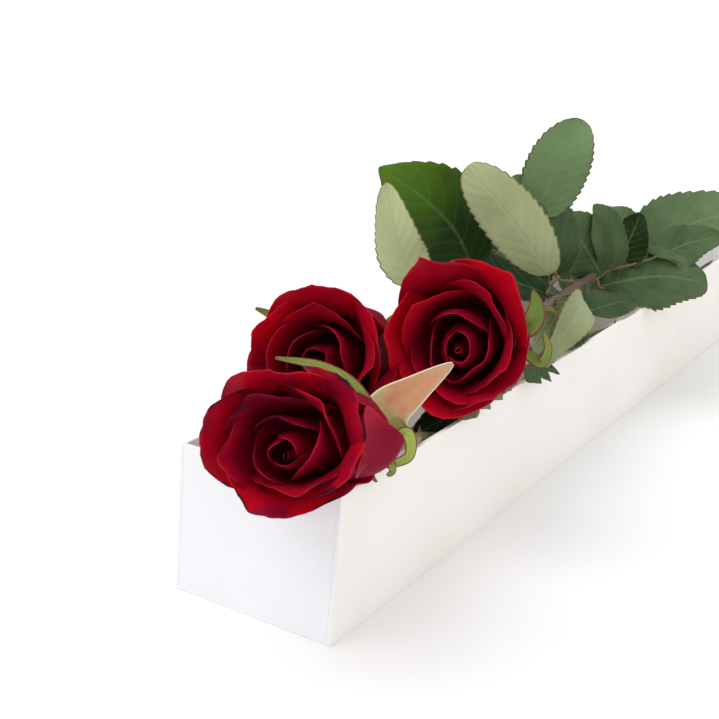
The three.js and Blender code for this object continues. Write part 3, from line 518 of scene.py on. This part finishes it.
# shade_and_vein is the painted shade colour of the recesses, also used for the veins.
petal_face = petal_material(
    "petal_inner_face", shade_and_vein=(0.26, 0.0, 0.020), bright=(0.50, 0.0, 0.009),
    outermost=(0.52, 0.0, 0.009), dry=(0.026, 0.001, 0.011),
    constants={"Specular IOR Level": 0.15, "Sheen Weight": 0.10, "Sheen Roughness": 0.4,
               "Sheen Tint": (1.0, 0.05, 0.12, 1)})
petal_back = petal_material(
    "petal_outer_face", shade_and_vein=(0.22, 0.0, 0.018), bright=(0.32, 0.0, 0.016),
    outermost=(0.58, 0.008, 0.047), dry=(0.02, 0.003, 0.012),
    constants={"Specular IOR Level": 0.08, "Sheen Weight": 0.03, "Sheen Roughness": 0.5,
               "Sheen Tint": (1.0, 0.1, 0.2, 1)})
for name, bloom in BLOOMS.items():
    sheets = []
    for ring, count in enumerate(COUNT):
        for i in range(count):
            points, faces, kinds, place = shell(*petal(bloom, ring, i), PETAL_THICKNESS)
            marks = {"age": bloom["age"], "ring": ring / LAST_RING,
                     "tone": 0.5 + 0.5 * jitter(bloom["seed"], 400 + 8 * ring + i)}
            marks = {title: np.full(len(points), number) for title, number in marks.items()}
            sheets.append((points, faces, kinds % 2, place, marks))
    points, faces, kinds, places, marks = join(sheets)
    head = add_piece(name + "_petals", points, faces, [petal_face, petal_back], kinds, places,
                     marks)
    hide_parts(name + "_bloom")


# Calyx of each rose: the swollen hip under the bloom, about 11 mm across, and its narrow
# leafy sepals, which curl back from the petals. Fresh green, some with a maroon edge.
# Sizes in mm, and knots from the base of the bloom.
SEPAL_THICKNESS = 0.6
SEPAL_FOLD = 0.3
TIP_WIDTH = 0.6
HIP_KNOTS, HIP_RADII = (-9.0, -6.0, -3.0, 0.4), (2.9, 4.9, 5.5, 5.4)
# Outline of a long and of a curled sepal: where it is widest, how full it is and its taper.
LONG, CURLED = (0.6, 0.75, 0.2), (0.7, 0.6, 0.1)
SEPALS = {
    "rose1": [
        dict(knots=((-1, 3, 2), (-11.5, -5.5, 25), (-24.5, -15.5, 36), (-44, -23.5, 38)),
             up=(0.28, -0.58, 0.76), half_width=3.2, outline=LONG, tint=(0.8, 0.5)),
        dict(knots=((1, 3, 1), (9.5, 6.5, 6.5), (11, 7.5, -4), (4, -0.5, -9)),
             up=(0.84, -0.44, 0.31), half_width=2.6, outline=CURLED, tint=(1.1, 1.0)),
        dict(knots=((1, 1, -3), (3.5, -4.5, -6.5), (1.5, -8.5, -11.5), (3.5, -7.5, -18)),
             up=(0.84, -0.44, 0.31), half_width=0.8, outline=CURLED, tint=(0.2, 0.4)),
        dict(knots=((2, 2, -3), (6.5, -0.5, -7), (7, 0.5, -10.5), (5.5, -0.5, -13.5)),
             up=(0.84, -0.44, 0.31), half_width=1.4, outline=CURLED, tint=(0.6, 0.6)),
    ],
    "rose2": [
        dict(knots=((-2, 4, -1), (-17, 3, 3), (-36.5, -26.5, 13), (-52.5, -37.5, 20)),
             up=(0.32, -0.63, 0.71), half_width=5, outline=LONG, tint=(0.3, 0.3)),
        dict(knots=((0, 4, 1), (4, 9, 11), (10, 6, 19), (17, -2, 25)),
             up=(0.3, -0.6, 0.7), half_width=4, outline=LONG, tint=(0.5, 0.5)),
        dict(knots=((0, 4, -1), (2, 10, -8), (5, 12, -17), (11, 10, -24)),
             up=(0.3, -0.6, -0.7), half_width=4, outline=LONG, tint=(0.4, 0.4)),
    ],
    "rose3": [
        dict(knots=((2, 4, 1), (15.5, 2.5, 9), (18, 3.5, 18.5), (15, 5.5, 26.5)),
             up=(0.7, -0.52, 0.49), half_width=6.5, outline=LONG, tint=(0.3, 0.2)),
        dict(knots=((2, 4, -1), (23.5, 2.5, -11), (27.5, 4.5, -4), (24.5, 4.5, 5)),
             up=(0.8, -0.51, 0.32), half_width=2.6, outline=CURLED, tint=(0.4, 0.5)),
        dict(knots=((2, 4, 1), (16, 10.5, 13), (21, 15.5, 15.5), (25.5, 17.5, 13)),
             up=(0.57, -0.52, 0.64), half_width=1.2, outline=CURLED, tint=(0.1, 0.2)),
        dict(knots=((-2, 4, 1), (-12, 8, 5), (-21, 8, 12), (-29, 4, 19)),
             up=(-0.3, -0.6, 0.7), half_width=4, outline=LONG, tint=(0.5, 0.5)),
    ],
}


def oval(s, belly, fullness, taper):
    """Width of a leaf at s: sin(pi s^belly)^fullness (1 - taper s)."""
    return np.sin(math.pi * s ** belly) ** fullness * (1 - taper * s)


def blade(knots, up, half_width, outline, fold=0.12, wave=0.0, lobes=0, teeth=0, cut=0.0,
          along=48, across=10):
    """Grid of a leaf: a midrib on a smooth curve, an oval outline, halves folded up along the
    midrib, and a margin that a sine along it waves and a saw wave cuts into teeth. Between
    lobes, if it has any, the width falls to half. Returns s and t, its places along and
    across, and the points."""
    s, t = surface_grid(along, across)
    widest = oval(np.arange(1, 100) / 100, *outline).max()
    middle = curve(knots, s)
    tangent = unit(curve(knots, np.minimum(s + 1e-3, 1)) - curve(knots, np.maximum(s - 1e-3, 0)))
    sideways = unit(np.cross(tangent, up))
    w = half_width * np.maximum(oval(np.clip(s, 0, 0.9999), *outline), 0) / widest + TIP_WIDTH
    w = w * (1 + cut * ((s * teeth) % 1 - 0.5) * np.minimum(1, 12 * s * (1 - s)))
    if lobes:
        w = w * (1 - 0.5 * abs(2 * (s * lobes % 1) - 1))
    ripple = wave * np.sin(9 * s + 1.2 * np.sign(t)) * t ** 2 * np.minimum(1, w / 6)
    bend = (fold * abs(t) * w + ripple)[..., None] * np.cross(sideways, tangent)
    return s, t, over_rim(middle + (t * w * math.cos(0.6 * fold))[..., None] * sideways + bend)


def tube(knots, radii, rings, sides):
    """Closed round rod along a smooth path through knots in mm, its radii spread evenly over
    its length. Each end closes in two smaller rings and a flat cap of strips. Returns its
    points in metres, its faces and the place of each point."""
    s = np.linspace(0, 1, rings + 1)
    middle = curve(knots, s)
    tangent = unit(curve(knots, np.minimum(s + 0.004, 1)) - curve(knots, np.maximum(s - 0.004, 0)))
    r = np.interp(s, np.linspace(0, 1, len(radii)), radii)
    narrowed, beyond = np.array((0.08, 0.7)), np.array((0.5, 0.35))[:, None]
    middle = np.concatenate((middle[:1] - tangent[:1] * r[0] * beyond, middle,
                             middle[-1:] + tangent[-1:] * r[-1] * beyond[::-1]))
    tangent = np.concatenate((np.repeat(tangent[:1], 2, 0), tangent,
                              np.repeat(tangent[-1:], 2, 0)))
    r = np.concatenate((narrowed * r[0], r, narrowed[::-1] * r[-1]))
    e = unit(np.cross(tangent, (0.3, 0.1, 1.0)))
    f = np.cross(tangent, e)
    angle = np.arange(sides) * 2 * math.pi / sides
    circle = np.cos(angle)[:, None] * e[:, None] + np.sin(angle)[:, None] * f[:, None]
    points = (middle[:, None] + r[:, None, None] * circle).reshape(-1, 3)
    number = np.arange(len(points)).reshape(-1, sides)
    after = np.roll(number, -1, 1)
    walls = np.stack((number[:-1], after[:-1], after[1:], number[1:]), -1).reshape(-1, 4)
    k = np.arange(sides // 2 - 1)
    first_cap = np.stack((k, (sides - 1 - k), (sides - 2 - k), k + 1), -1)
    last_cap = first_cap[:, ::-1] + number[-1, 0]
    place = np.stack(np.meshgrid(angle / (2 * math.pi), np.linspace(0, 1, len(r))), -1)
    return (points / MM_PER_METRE, np.concatenate((walls, first_cap, last_cap)),
            place.reshape(-1, 2))


def add_leafy(name, node, blades, rods, materials, thickness):
    """One leafy piece: every blade as a shell, every rod as a closed tube, in one mesh. The
    materials are those of the upper face, of the lower face and of the rods; under turns a
    blade's lower face up, and tint is the tone at its foot and at its tip: its own
    tone, and painted shade where it lies in shadow."""
    parts = []
    for q in blades:
        shape = dict(q)
        (at_foot, at_tip), under = shape.pop("tint"), shape.pop("under", False)
        points, faces, kinds, place = shell(*blade(**shape), thickness)
        kinds = ((kinds == 0) != under).astype(int)
        marks = {"tint": at_foot + (at_tip - at_foot) * place[:, 1]}
        parts.append((points, faces, kinds, place, marks))
    for q in rods:
        points, faces, place = tube(**q)
        kinds = np.full(len(faces), len(materials) - 1)
        parts.append((points, faces, kinds, place, {"tint": np.full(len(points), 0.5)}))
    points, faces, kinds, places, marks = join(parts)
    piece = add_piece(name, points, faces, materials, kinds, places, marks)
    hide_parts(node)


def growth(bloom):
    """Base of a bloom, and the unit vector from it towards the bloom's centre."""
    base = np.array(bloom["base"])
    return base, unit(np.array(bloom["centre"]) - base)


def off_middle(places):
    """How far a place lies off the middle line of a leaf: 0 on it, 1 at the edge."""
    return abs(places.axis("X") * 2 - 1)


def leaf_material(name, dark, light, vein, edge, edge_width, roughness, constants):
    """Leaf face: a colour between dark and light for each leaf by its tint mark, its own
    tone and painted shade where the leaf lies in shadow, clouded, with a pale midrib and side
    veins that run forward from it, and a thin edge of another colour."""
    material, shader, start = finish(name, constants)
    objects, places = start.coordinates(), surface_place(start)
    off, along = off_middle(places), places.axis("Y")
    clouds = objects.noise(45.0, 4.0)
    rungs = start.maths("PINGPONG", along * 8 - off * 2.2 + clouds * 0.25, 0.5)
    side_vein = (1 - rungs.step(0.03, 0.12)) * (1 - off * 0.6)
    midrib = 1 - off.step(0.015, 0.06)
    margin = (off + clouds * 0.06).step(1.0 - edge_width, 1.04 - edge_width * 0.5)
    # Painted shade: a low tint darkens leaves that lie in shadow towards the dark colour.
    colour = (point_mark(start, "tint") + clouds * 0.5 - 0.25).mix(dark, light)
    colour = (side_vein * 0.12 + midrib * 0.3).mix(colour, vein)
    feed(shader, "Base Color", margin.mix(colour, edge))
    feed(shader, "Roughness", clouds * 0.2 + roughness)
    relief(shader, rungs.step(0.0, 0.4) * 0.8 - midrib * 0.6 + objects.noise(900.0) * 0.15,
           0.00025)
    return material


sepal_green = leaf_material(
    "sepal_green", dark=(0.07, 0.15, 0.02), light=(0.36, 0.44, 0.09), vein=(0.45, 0.50, 0.20),
    edge=(0.20, 0.035, 0.04), edge_width=0.13, roughness=0.45,
    constants={"Specular IOR Level": 0.2})
hip_green, shader, start = finish("hip_green", {"Specular IOR Level": 0.4})
clouds = start.coordinates().noise(110.0, 4.0)
feed(shader, "Base Color", clouds.step(0.3, 0.7).mix((0.12, 0.20, 0.03), (0.26, 0.34, 0.08)))
feed(shader, "Roughness", clouds * 0.2 + 0.35)
relief(shader, clouds, 0.0003)
for name, sepals in SEPALS.items():
    base, upwards = growth(BLOOMS[name])
    blades = [dict(q, fold=SEPAL_FOLD, knots=[base + p for p in q["knots"]]) for q in sepals]
    hip = dict(knots=[base + upwards * d for d in HIP_KNOTS], radii=HIP_RADII, rings=14, sides=24)
    add_leafy(name + "_calyx_green", name + "_calyx", blades, [hip],
              [sepal_green, sepal_green, hip_green], SEPAL_THICKNESS)


# Outer sepal of the front rose: a large leafy sepal, 50 mm long, folded along its middle, peach
# and pink on its face with an olive base and a pale downy edge. Its knots are given from the
# base of the bloom.
PEACH_KNOTS = ((-3, 4.5, 1.5), (-2.5, 5.5, 5.5), (-1, 7.5, 15.5), (8.5, 12.5, 26),
               (23, 19.5, 40.5))
PEACH_SHAPE = dict(up=(0.49, -0.78, 0.39), half_width=10.5, outline=(0.72, 0.72, 0.25),
                   fold=0.12, tint=(0.5, 0.5))
# Its colours along it, from the olive base to the peach tip.
PEACH_STOPS = ((0.34, (0.34, 0.42, 0.10)), (0.46, (0.55, 0.50, 0.22)),
               (0.62, (0.60, 0.27, 0.14)), (0.80, (0.55, 0.30, 0.14)),
               (1.0, (0.50, 0.33, 0.19)))
PINK_BLUSH, PALE_FIBRES, DOWNY_EDGE = (0.68, 0.16, 0.11), (0.62, 0.46, 0.26), (0.76, 0.70, 0.52)
peach_face, shader, start = finish("peach_sepal", {"Specular IOR Level": 0.2, "Sheen Weight": 0.1})
places = surface_place(start)
off = off_middle(places)
fibres = places.noise(60.0, 3.0, (1, 0.18, 1))
clouds = places.noise(4.0)
blush = places.noise(4.5, 4.0, (1, 1.2, 1))
colour = start.node("ValToRGB", {"stops": PEACH_STOPS},
                    {"Fac": places.axis("Y") - off * 0.10 + clouds * 0.3 - 0.1})
colour = (blush.step(0.45, 0.65) * (1 - off) * 0.7).mix(colour, PINK_BLUSH)
colour = (fibres.step(0.4, 0.7) * 0.3).mix(colour, PALE_FIBRES)
colour = (off + clouds * 0.06).step(0.975, 1.01).mix(colour, DOWNY_EDGE)
feed(shader, "Base Color", colour)
feed(shader, "Roughness", clouds * 0.2 + 0.45)
relief(shader, fibres, 0.0001)
base, upwards = growth(BLOOMS["rose1"])
add_leafy("outer_sepal", "rose1_outer_sepal",
          [dict(PEACH_SHAPE, knots=[base + p for p in PEACH_KNOTS])], [],
          [peach_face, peach_face], SEPAL_THICKNESS)


# Stems of the three roses: 5.6 mm thick, olive to purple brown, smooth, with a few thorns that
# point back down the stem. They run from the hips down into the box, to its far end. Sizes in
# mm.
STEM_RADII = (3.2, 2.8, 2.8, 3.0)
HIP_LENGTH = 9.6
STEMS = {
    "rose1": ((48, -276, 87), (42, -254, 80.6), (33, -225, 70), (20, -150, 46), (15, 0, 22),
              (15, 150, 9.5), (17, 312, 6.2)),
    "rose2": ((-9, -160, 93), (-14, -100, 76), (-16, 0, 48), (-18, 120, 27), (-20, 220, 15),
              (-22, 312, 9)),
    "rose3": ((38, -98, 112), (20, 0, 101), (4, 100, 89), (-6, 200, 66), (-6, 312, 30)),
}
# Where the thorns stand along a stem, and the knots of a thorn: how far out of the middle of
# the stem and how far back down it.
THORN_PLACES = (0.16, 0.27, 0.41, 0.55, 0.68, 0.83)
THORN_KNOTS = ((1.2, 0), (3.4, 0.3), (5.0, 1.2), (6.4, 2.8))
THORN_RADII = (2.1, 1.1, 0.5, 0.12)
THORN_TONE = 0.9
bark, shader, start = finish("stem_bark", {"Specular IOR Level": 0.4})
clouds = start.coordinates().noise(60.0, 4.0)
streaks = surface_place(start).noise(30.0, 3.0, (1, 0.6, 1))
brown = point_mark(start, "tint") + clouds * 0.8 - 0.4
colour = brown.mix((0.22, 0.20, 0.05), (0.11, 0.055, 0.045))
colour = (streaks.step(0.5, 0.7) * 0.4).mix(colour, (0.05, 0.02, 0.015))
feed(shader, "Base Color", colour)
feed(shader, "Roughness", streaks * 0.25 + 0.35)
relief(shader, streaks + clouds * 0.5, 0.0003)
for name, knots in STEMS.items():
    bloom = BLOOMS[name]
    base, upwards = growth(bloom)
    knots = [base - HIP_LENGTH * upwards, *knots]
    rods = [dict(knots=knots, radii=STEM_RADII, rings=110, sides=20)]
    for i, place in enumerate(THORN_PLACES):
        foot, further = curve(knots, np.array([place, place + 0.01]))
        back = unit(further - foot)
        out = np.array((jitter(bloom["seed"], i), 0, 0.4 + abs(jitter(bloom["seed"], i + 40))))
        out = unit(out - back * (out @ back))
        rods.append(dict(knots=[foot + out * away + back * down for away, down in THORN_KNOTS],
                         radii=THORN_RADII, rings=10, sides=12))
    parts = []
    for q, tone in zip(rods, [bloom["stem_tone"]] + [THORN_TONE] * len(THORN_PLACES)):
        points, faces, place = tube(**q)
        kinds = np.zeros(len(faces), int)
        parts.append((points, faces, kinds, place, {"tint": np.full(len(points), tone)}))
    points, faces, kinds, places, marks = join(parts)
    piece = add_piece(name + "_stem_bark", points, faces, [bark], kinds, places, marks)
    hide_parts(name + "_stem")


# Compound leaves: saw-toothed leaflets, 30 to 80 mm long, on thin brownish stalks that start on
# the stems. Dark green above, pale olive below. ribs are the stalks and blades the leaflets.
# Sizes in mm. Each leaflet's tint is partly its own tone and partly painted shade, low for leaflets
# in shadow under the blooms and inside the box.
LEAF_THICKNESS = 0.6
LEAVES = {
    "leaf_centre": dict(
        ribs=[
            ((16.5, 3, 103.5), (8, -2, 106), (0, -3, 126), (-10, -2, 144)),
            ((9, -1, 105.6), (9, -8, 105), (9, -15, 101.5), (9, -20, 98.6)),
            ((9, -8, 105), (11, -22, 106), (15, -34, 111), (19, -45, 120)),
        ],
        blades=[
            dict(knots=((19, -44, 118), (12, -72, 145), (1, -95, 169), (-14, -108, 187)),
                 up=(0.31, -0.93, 0.21), half_width=17, outline=(0.95, 0.42, 0.1),
                 fold=-0.12, tint=(0.62, 0.78), under=True),
            dict(knots=((6, 2, 106), (1, 1, 129), (-11, -3, 151), (-28, -8, 167)),
                 up=(0.73, -0.55, 0.41), half_width=20, tint=(0.1, 0.5)),
            dict(knots=((-11, -2, 144), (-6, 2, 166), (0, 7, 187), (7, 12, 206)),
                 up=(0.59, -0.6, 0.54), half_width=20, outline=(0.85, 0.45, 0.1), tint=(0.6, 1.0)),
            # Painted shade: this leaflet lies in shadow behind rose3, and its tint near 0 makes it
            # very dark.
            dict(knots=((9, -20, 99), (-8, -38, 107), (-25, -52, 114), (-45, -62, 123)),
                 up=(0.2, -0.45, 0.87), half_width=19, tint=(0.0, 0.05)),
            dict(knots=((5, -8, 98), (-17, -4, 107), (-40, 2, 114), (-65, 8, 121)),
                 up=(0.46, -0.67, 0.58), half_width=17, tint=(0.0, 0.0)),
        ]),
    "leaf_upper_left": dict(
        ribs=[
            ((-14, -98, 79.3), (-14, -90, 92), (-16, -76, 108), (-25, -58, 114)),
            ((-15, -86, 98), (-20, -88, 103), (-28, -90, 107), (-41, -93, 109)),
        ],
        blades=[
            dict(knots=((-25, -58, 113), (-36, -68, 139), (-55, -78, 158), (-84, -84, 173)),
                 up=(0.68, -0.57, 0.46), half_width=31, outline=(0.85, 0.78, 0.1),
                 tint=(-0.35, 0.8)),
            dict(knots=((-41, -93, 108), (-52, -101, 125), (-57, -107, 145), (-64, -110, 170)),
                 up=(0.13, -0.92, 0.37), half_width=14.5, tint=(0.9, 1.0), under=True),
        ]),
    "leaf_right": dict(
        ribs=[
            ((10, 55, 92), (12, 64, 93), (14, 78, 96), (14, 101, 95)),
            ((12, 64, 93), (12, 65, 95), (12, 66, 97), (13, 67, 96)),
            ((12, 64, 92.5), (15, 60, 90), (17, 60, 88), (19, 62, 87.6)),
            ((14, 84, 96), (22, 96, 98), (30, 106, 101), (36, 114, 104)),
        ],
        blades=[
            dict(knots=((14, 66, 96), (5, 62, 109), (-3, 57, 121), (-12, 50, 135)),
                 up=(0.46, -0.67, 0.58), half_width=22, outline=(0.9, 0.5, 0.1), tint=(0.1, 0.5)),
            dict(knots=((16, 80, 98), (13, 78, 114), (8, 74, 128), (1, 68, 142)),
                 up=(0.71, -0.43, 0.55), half_width=17, tint=(0.2, 0.4)),
            dict(knots=((13, 100, 94), (16, 103, 107), (19, 106, 120), (22, 108, 134)),
                 up=(0.19, -0.76, 0.62), half_width=15, tint=(0.0, 0.0)),
            dict(knots=((7, 72, 83), (25, 90, 89), (45, 110, 92), (70, 132, 88)),
                 up=(0.26, -0.47, 0.84), half_width=32, outline=(0.9, 0.5, 0.1), tint=(0.2, 0.4)),
            dict(knots=((36, 114, 104), (36, 130, 103), (49, 146, 111), (68, 160, 117)),
                 up=(0.28, -0.58, 0.76), half_width=19, tint=(0.2, 0.4)),
        ]),
    "leaf_far_right": dict(
        ribs=[
            ((-2, 162, 78.5), (-1, 163, 82), (0, 164, 86), (2, 167, 90)),
            ((-1, 163, 82), (-4, 168, 86), (-7, 172, 90), (-9, 176, 94)),
        ],
        blades=[
            dict(knots=((2, 165, 89), (24, 175, 108), (47, 186, 122), (79, 200, 133)),
                 up=(0.16, -0.53, 0.83), half_width=32, outline=(0.85, 0.5, 0.1), tint=(0.3, 0.65)),
            dict(knots=((-8, 174, 93), (-18, 188, 103), (-30, 204, 109), (-44, 220, 111)),
                 up=(0.2, -0.4, 0.9), half_width=17, tint=(0.2, 0.4)),
        ]),
    "leaf_droop": dict(
        ribs=[
            ((32, -62, 109.8), (36, -58, 111), (41, -54, 112), (45, -52, 108)),
            ((34, -59, 110.5), (35, -60, 109), (36, -62, 108), (40, -66, 110)),
        ],
        blades=[
            dict(knots=((46, -52, 109), (49, -70, 103), (48, -94, 91), (45, -120, 76)),
                 up=(0.71, -0.66, 0.24), half_width=11, outline=(0.48, 0.8, 0.1),
                 fold=0.2, tint=(0.38, 0.08), under=True),
            dict(knots=((40, -66, 111), (39, -76, 103), (40, -92, 96), (42, -110, 87)),
                 up=(0.4, -0.89, 0.22), half_width=9, outline=(0.7, 0.7, 0.1),
                 fold=0.2, tint=(0.0, 0.1), under=True),
        ]),
    "leaf_inner_rim": dict(
        ribs=[
            ((13, 38, 94.6), (20, 30, 88), (26, 10, 82), (29, -22, 78)),
        ],
        blades=[
            dict(knots=((28, -14, 78.5), (33, -35, 80), (35, -55, 79), (35, -78, 75)),
                 up=(0.28, -0.58, 0.76), half_width=12, tint=(0.1, 0.1)),
            dict(knots=((25, 12, 83), (31, 30, 84), (36, 50, 84), (38, 72, 81)),
                 up=(0.28, -0.58, 0.76), half_width=12, tint=(0.2, 0.2)),
        ]),
    "leaf_rim": dict(
        ribs=[
            ((17.5, -114, 40), (27, -108, 54), (34, -101, 69), (39, -95, 79)),
            ((36, -98, 74), (37, -110, 79.5), (37, -125, 81), (39, -142, 82)),
        ],
        blades=[
            dict(knots=((39, -92, 79), (44, -103, 82.5), (47, -117, 82.5), (49, -134, 79)),
                 up=(0.61, -0.5, 0.61), half_width=12, outline=(0.8, 0.55, 0.1),
                 lobes=4, tint=(0.1, 0.3)),
            dict(knots=((39, -141, 82), (42, -160, 83), (45, -184, 83), (48, -212, 79)),
                 up=(0.53, -0.48, 0.7), half_width=8, outline=(0.8, 0.5, 0.1),
                 lobes=5, tint=(0.1, 0.3), under=True),
            # Painted shade: this leaflet lies inside the box under rose3, and its tint below 0
            # makes it near black.
            dict(knots=((37, -122, 80), (32, -160, 72), (27, -185, 68), (20, -212, 63)),
                 up=(0.4, -0.6, 0.7), half_width=12, tint=(-0.3, -0.2)),
        ]),
    "leaf_inside_left": dict(
        ribs=[
            ((-19, 80, 36.5), (-22, 88, 48), (-26, 98, 58), (-28, 112, 66)),
            ((-22, 88, 48), (-18, 92, 54), (-12, 98, 59), (-8, 106, 62)),
        ],
        blades=[
            dict(knots=((-28, 112, 66), (-30, 130, 76), (-31, 150, 84), (-31, 174, 88)),
                 up=(0.4, -0.3, 0.86), half_width=10, tint=(0.1, 0.2)),
            dict(knots=((-8, 106, 62), (-4, 122, 66), (0, 138, 68), (2, 154, 66)),
                 up=(0, -0.1, 1), half_width=15, tint=(0.1, 0.2)),
            dict(knots=((-12, 98, 59), (-12, 82, 68), (-14, 62, 76), (-16, 40, 82)),
                 up=(0.2, -0.5, 0.85), half_width=14, tint=(0.1, 0.2)),
            dict(knots=((-26, 98, 58), (-31, 84, 68), (-33, 66, 76), (-33, 46, 80)),
                 up=(0.4, -0.3, 0.86), half_width=8.5, tint=(0.1, 0.2)),
        ]),
    "leaf_inside_right": dict(
        ribs=[
            ((15, 190, 10.5), (18, 200, 24), (22, 212, 36), (24, 226, 44)),
            ((18, 200, 24), (12, 206, 34), (4, 212, 42), (-2, 220, 48)),
        ],
        blades=[
            dict(knots=((24, 226, 44), (25, 244, 50), (25, 262, 52), (24, 282, 48)),
                 up=(-0.3, 0, 1), half_width=15, tint=(0.2, 0.4)),
            dict(knots=((-2, 220, 48), (-8, 236, 54), (-14, 252, 56), (-18, 270, 52)),
                 up=(0.2, 0, 1), half_width=14, tint=(0.2, 0.4)),
            dict(knots=((22, 212, 36), (28, 198, 46), (30, 182, 54), (30, 162, 58)),
                 up=(-0.5, 0, 0.9), half_width=10, tint=(0.2, 0.4)),
        ]),
}
LEAFLET_HABIT = dict(outline=(0.82, 0.60, 0.1), wave=1.6, teeth=14, cut=0.08, along=90, across=12)
STALK_RADII = (1.3, 1.0, 0.8)
upper_face = leaf_material(
    "leaf_upper", dark=(0.006, 0.024, 0.002), light=(0.17, 0.265, 0.115), vein=(0.19, 0.27, 0.12),
    edge=(0.08, 0.09, 0.03), edge_width=0.03, roughness=0.45,
    constants={"Specular IOR Level": 0.15})
young_face = leaf_material(
    "leaf_young", dark=(0.008, 0.028, 0.002), light=(0.085, 0.19, 0.006), vein=(0.12, 0.20, 0.05),
    edge=(0.06, 0.09, 0.01), edge_width=0.03, roughness=0.42,
    constants={"Specular IOR Level": 0.12})
under_face = leaf_material(
    "leaf_under", dark=(0.16, 0.19, 0.08), light=(0.48, 0.53, 0.28), vein=(0.44, 0.48, 0.27),
    edge=(0.20, 0.18, 0.08), edge_width=0.03, roughness=0.55,
    constants={"Specular IOR Level": 0.15, "Sheen Weight": 0.1})
for name, leaf in LEAVES.items():
    blades = [LEAFLET_HABIT | q for q in leaf["blades"]]
    stalks = [dict(knots=knots, radii=STALK_RADII, rings=20, sides=10) for knots in leaf["ribs"]]
    face = young_face if name == "leaf_upper_left" else upper_face
    add_leafy(name + "_leaflets", name, blades, stalks, [face, under_face, bark],
              LEAF_THICKNESS)
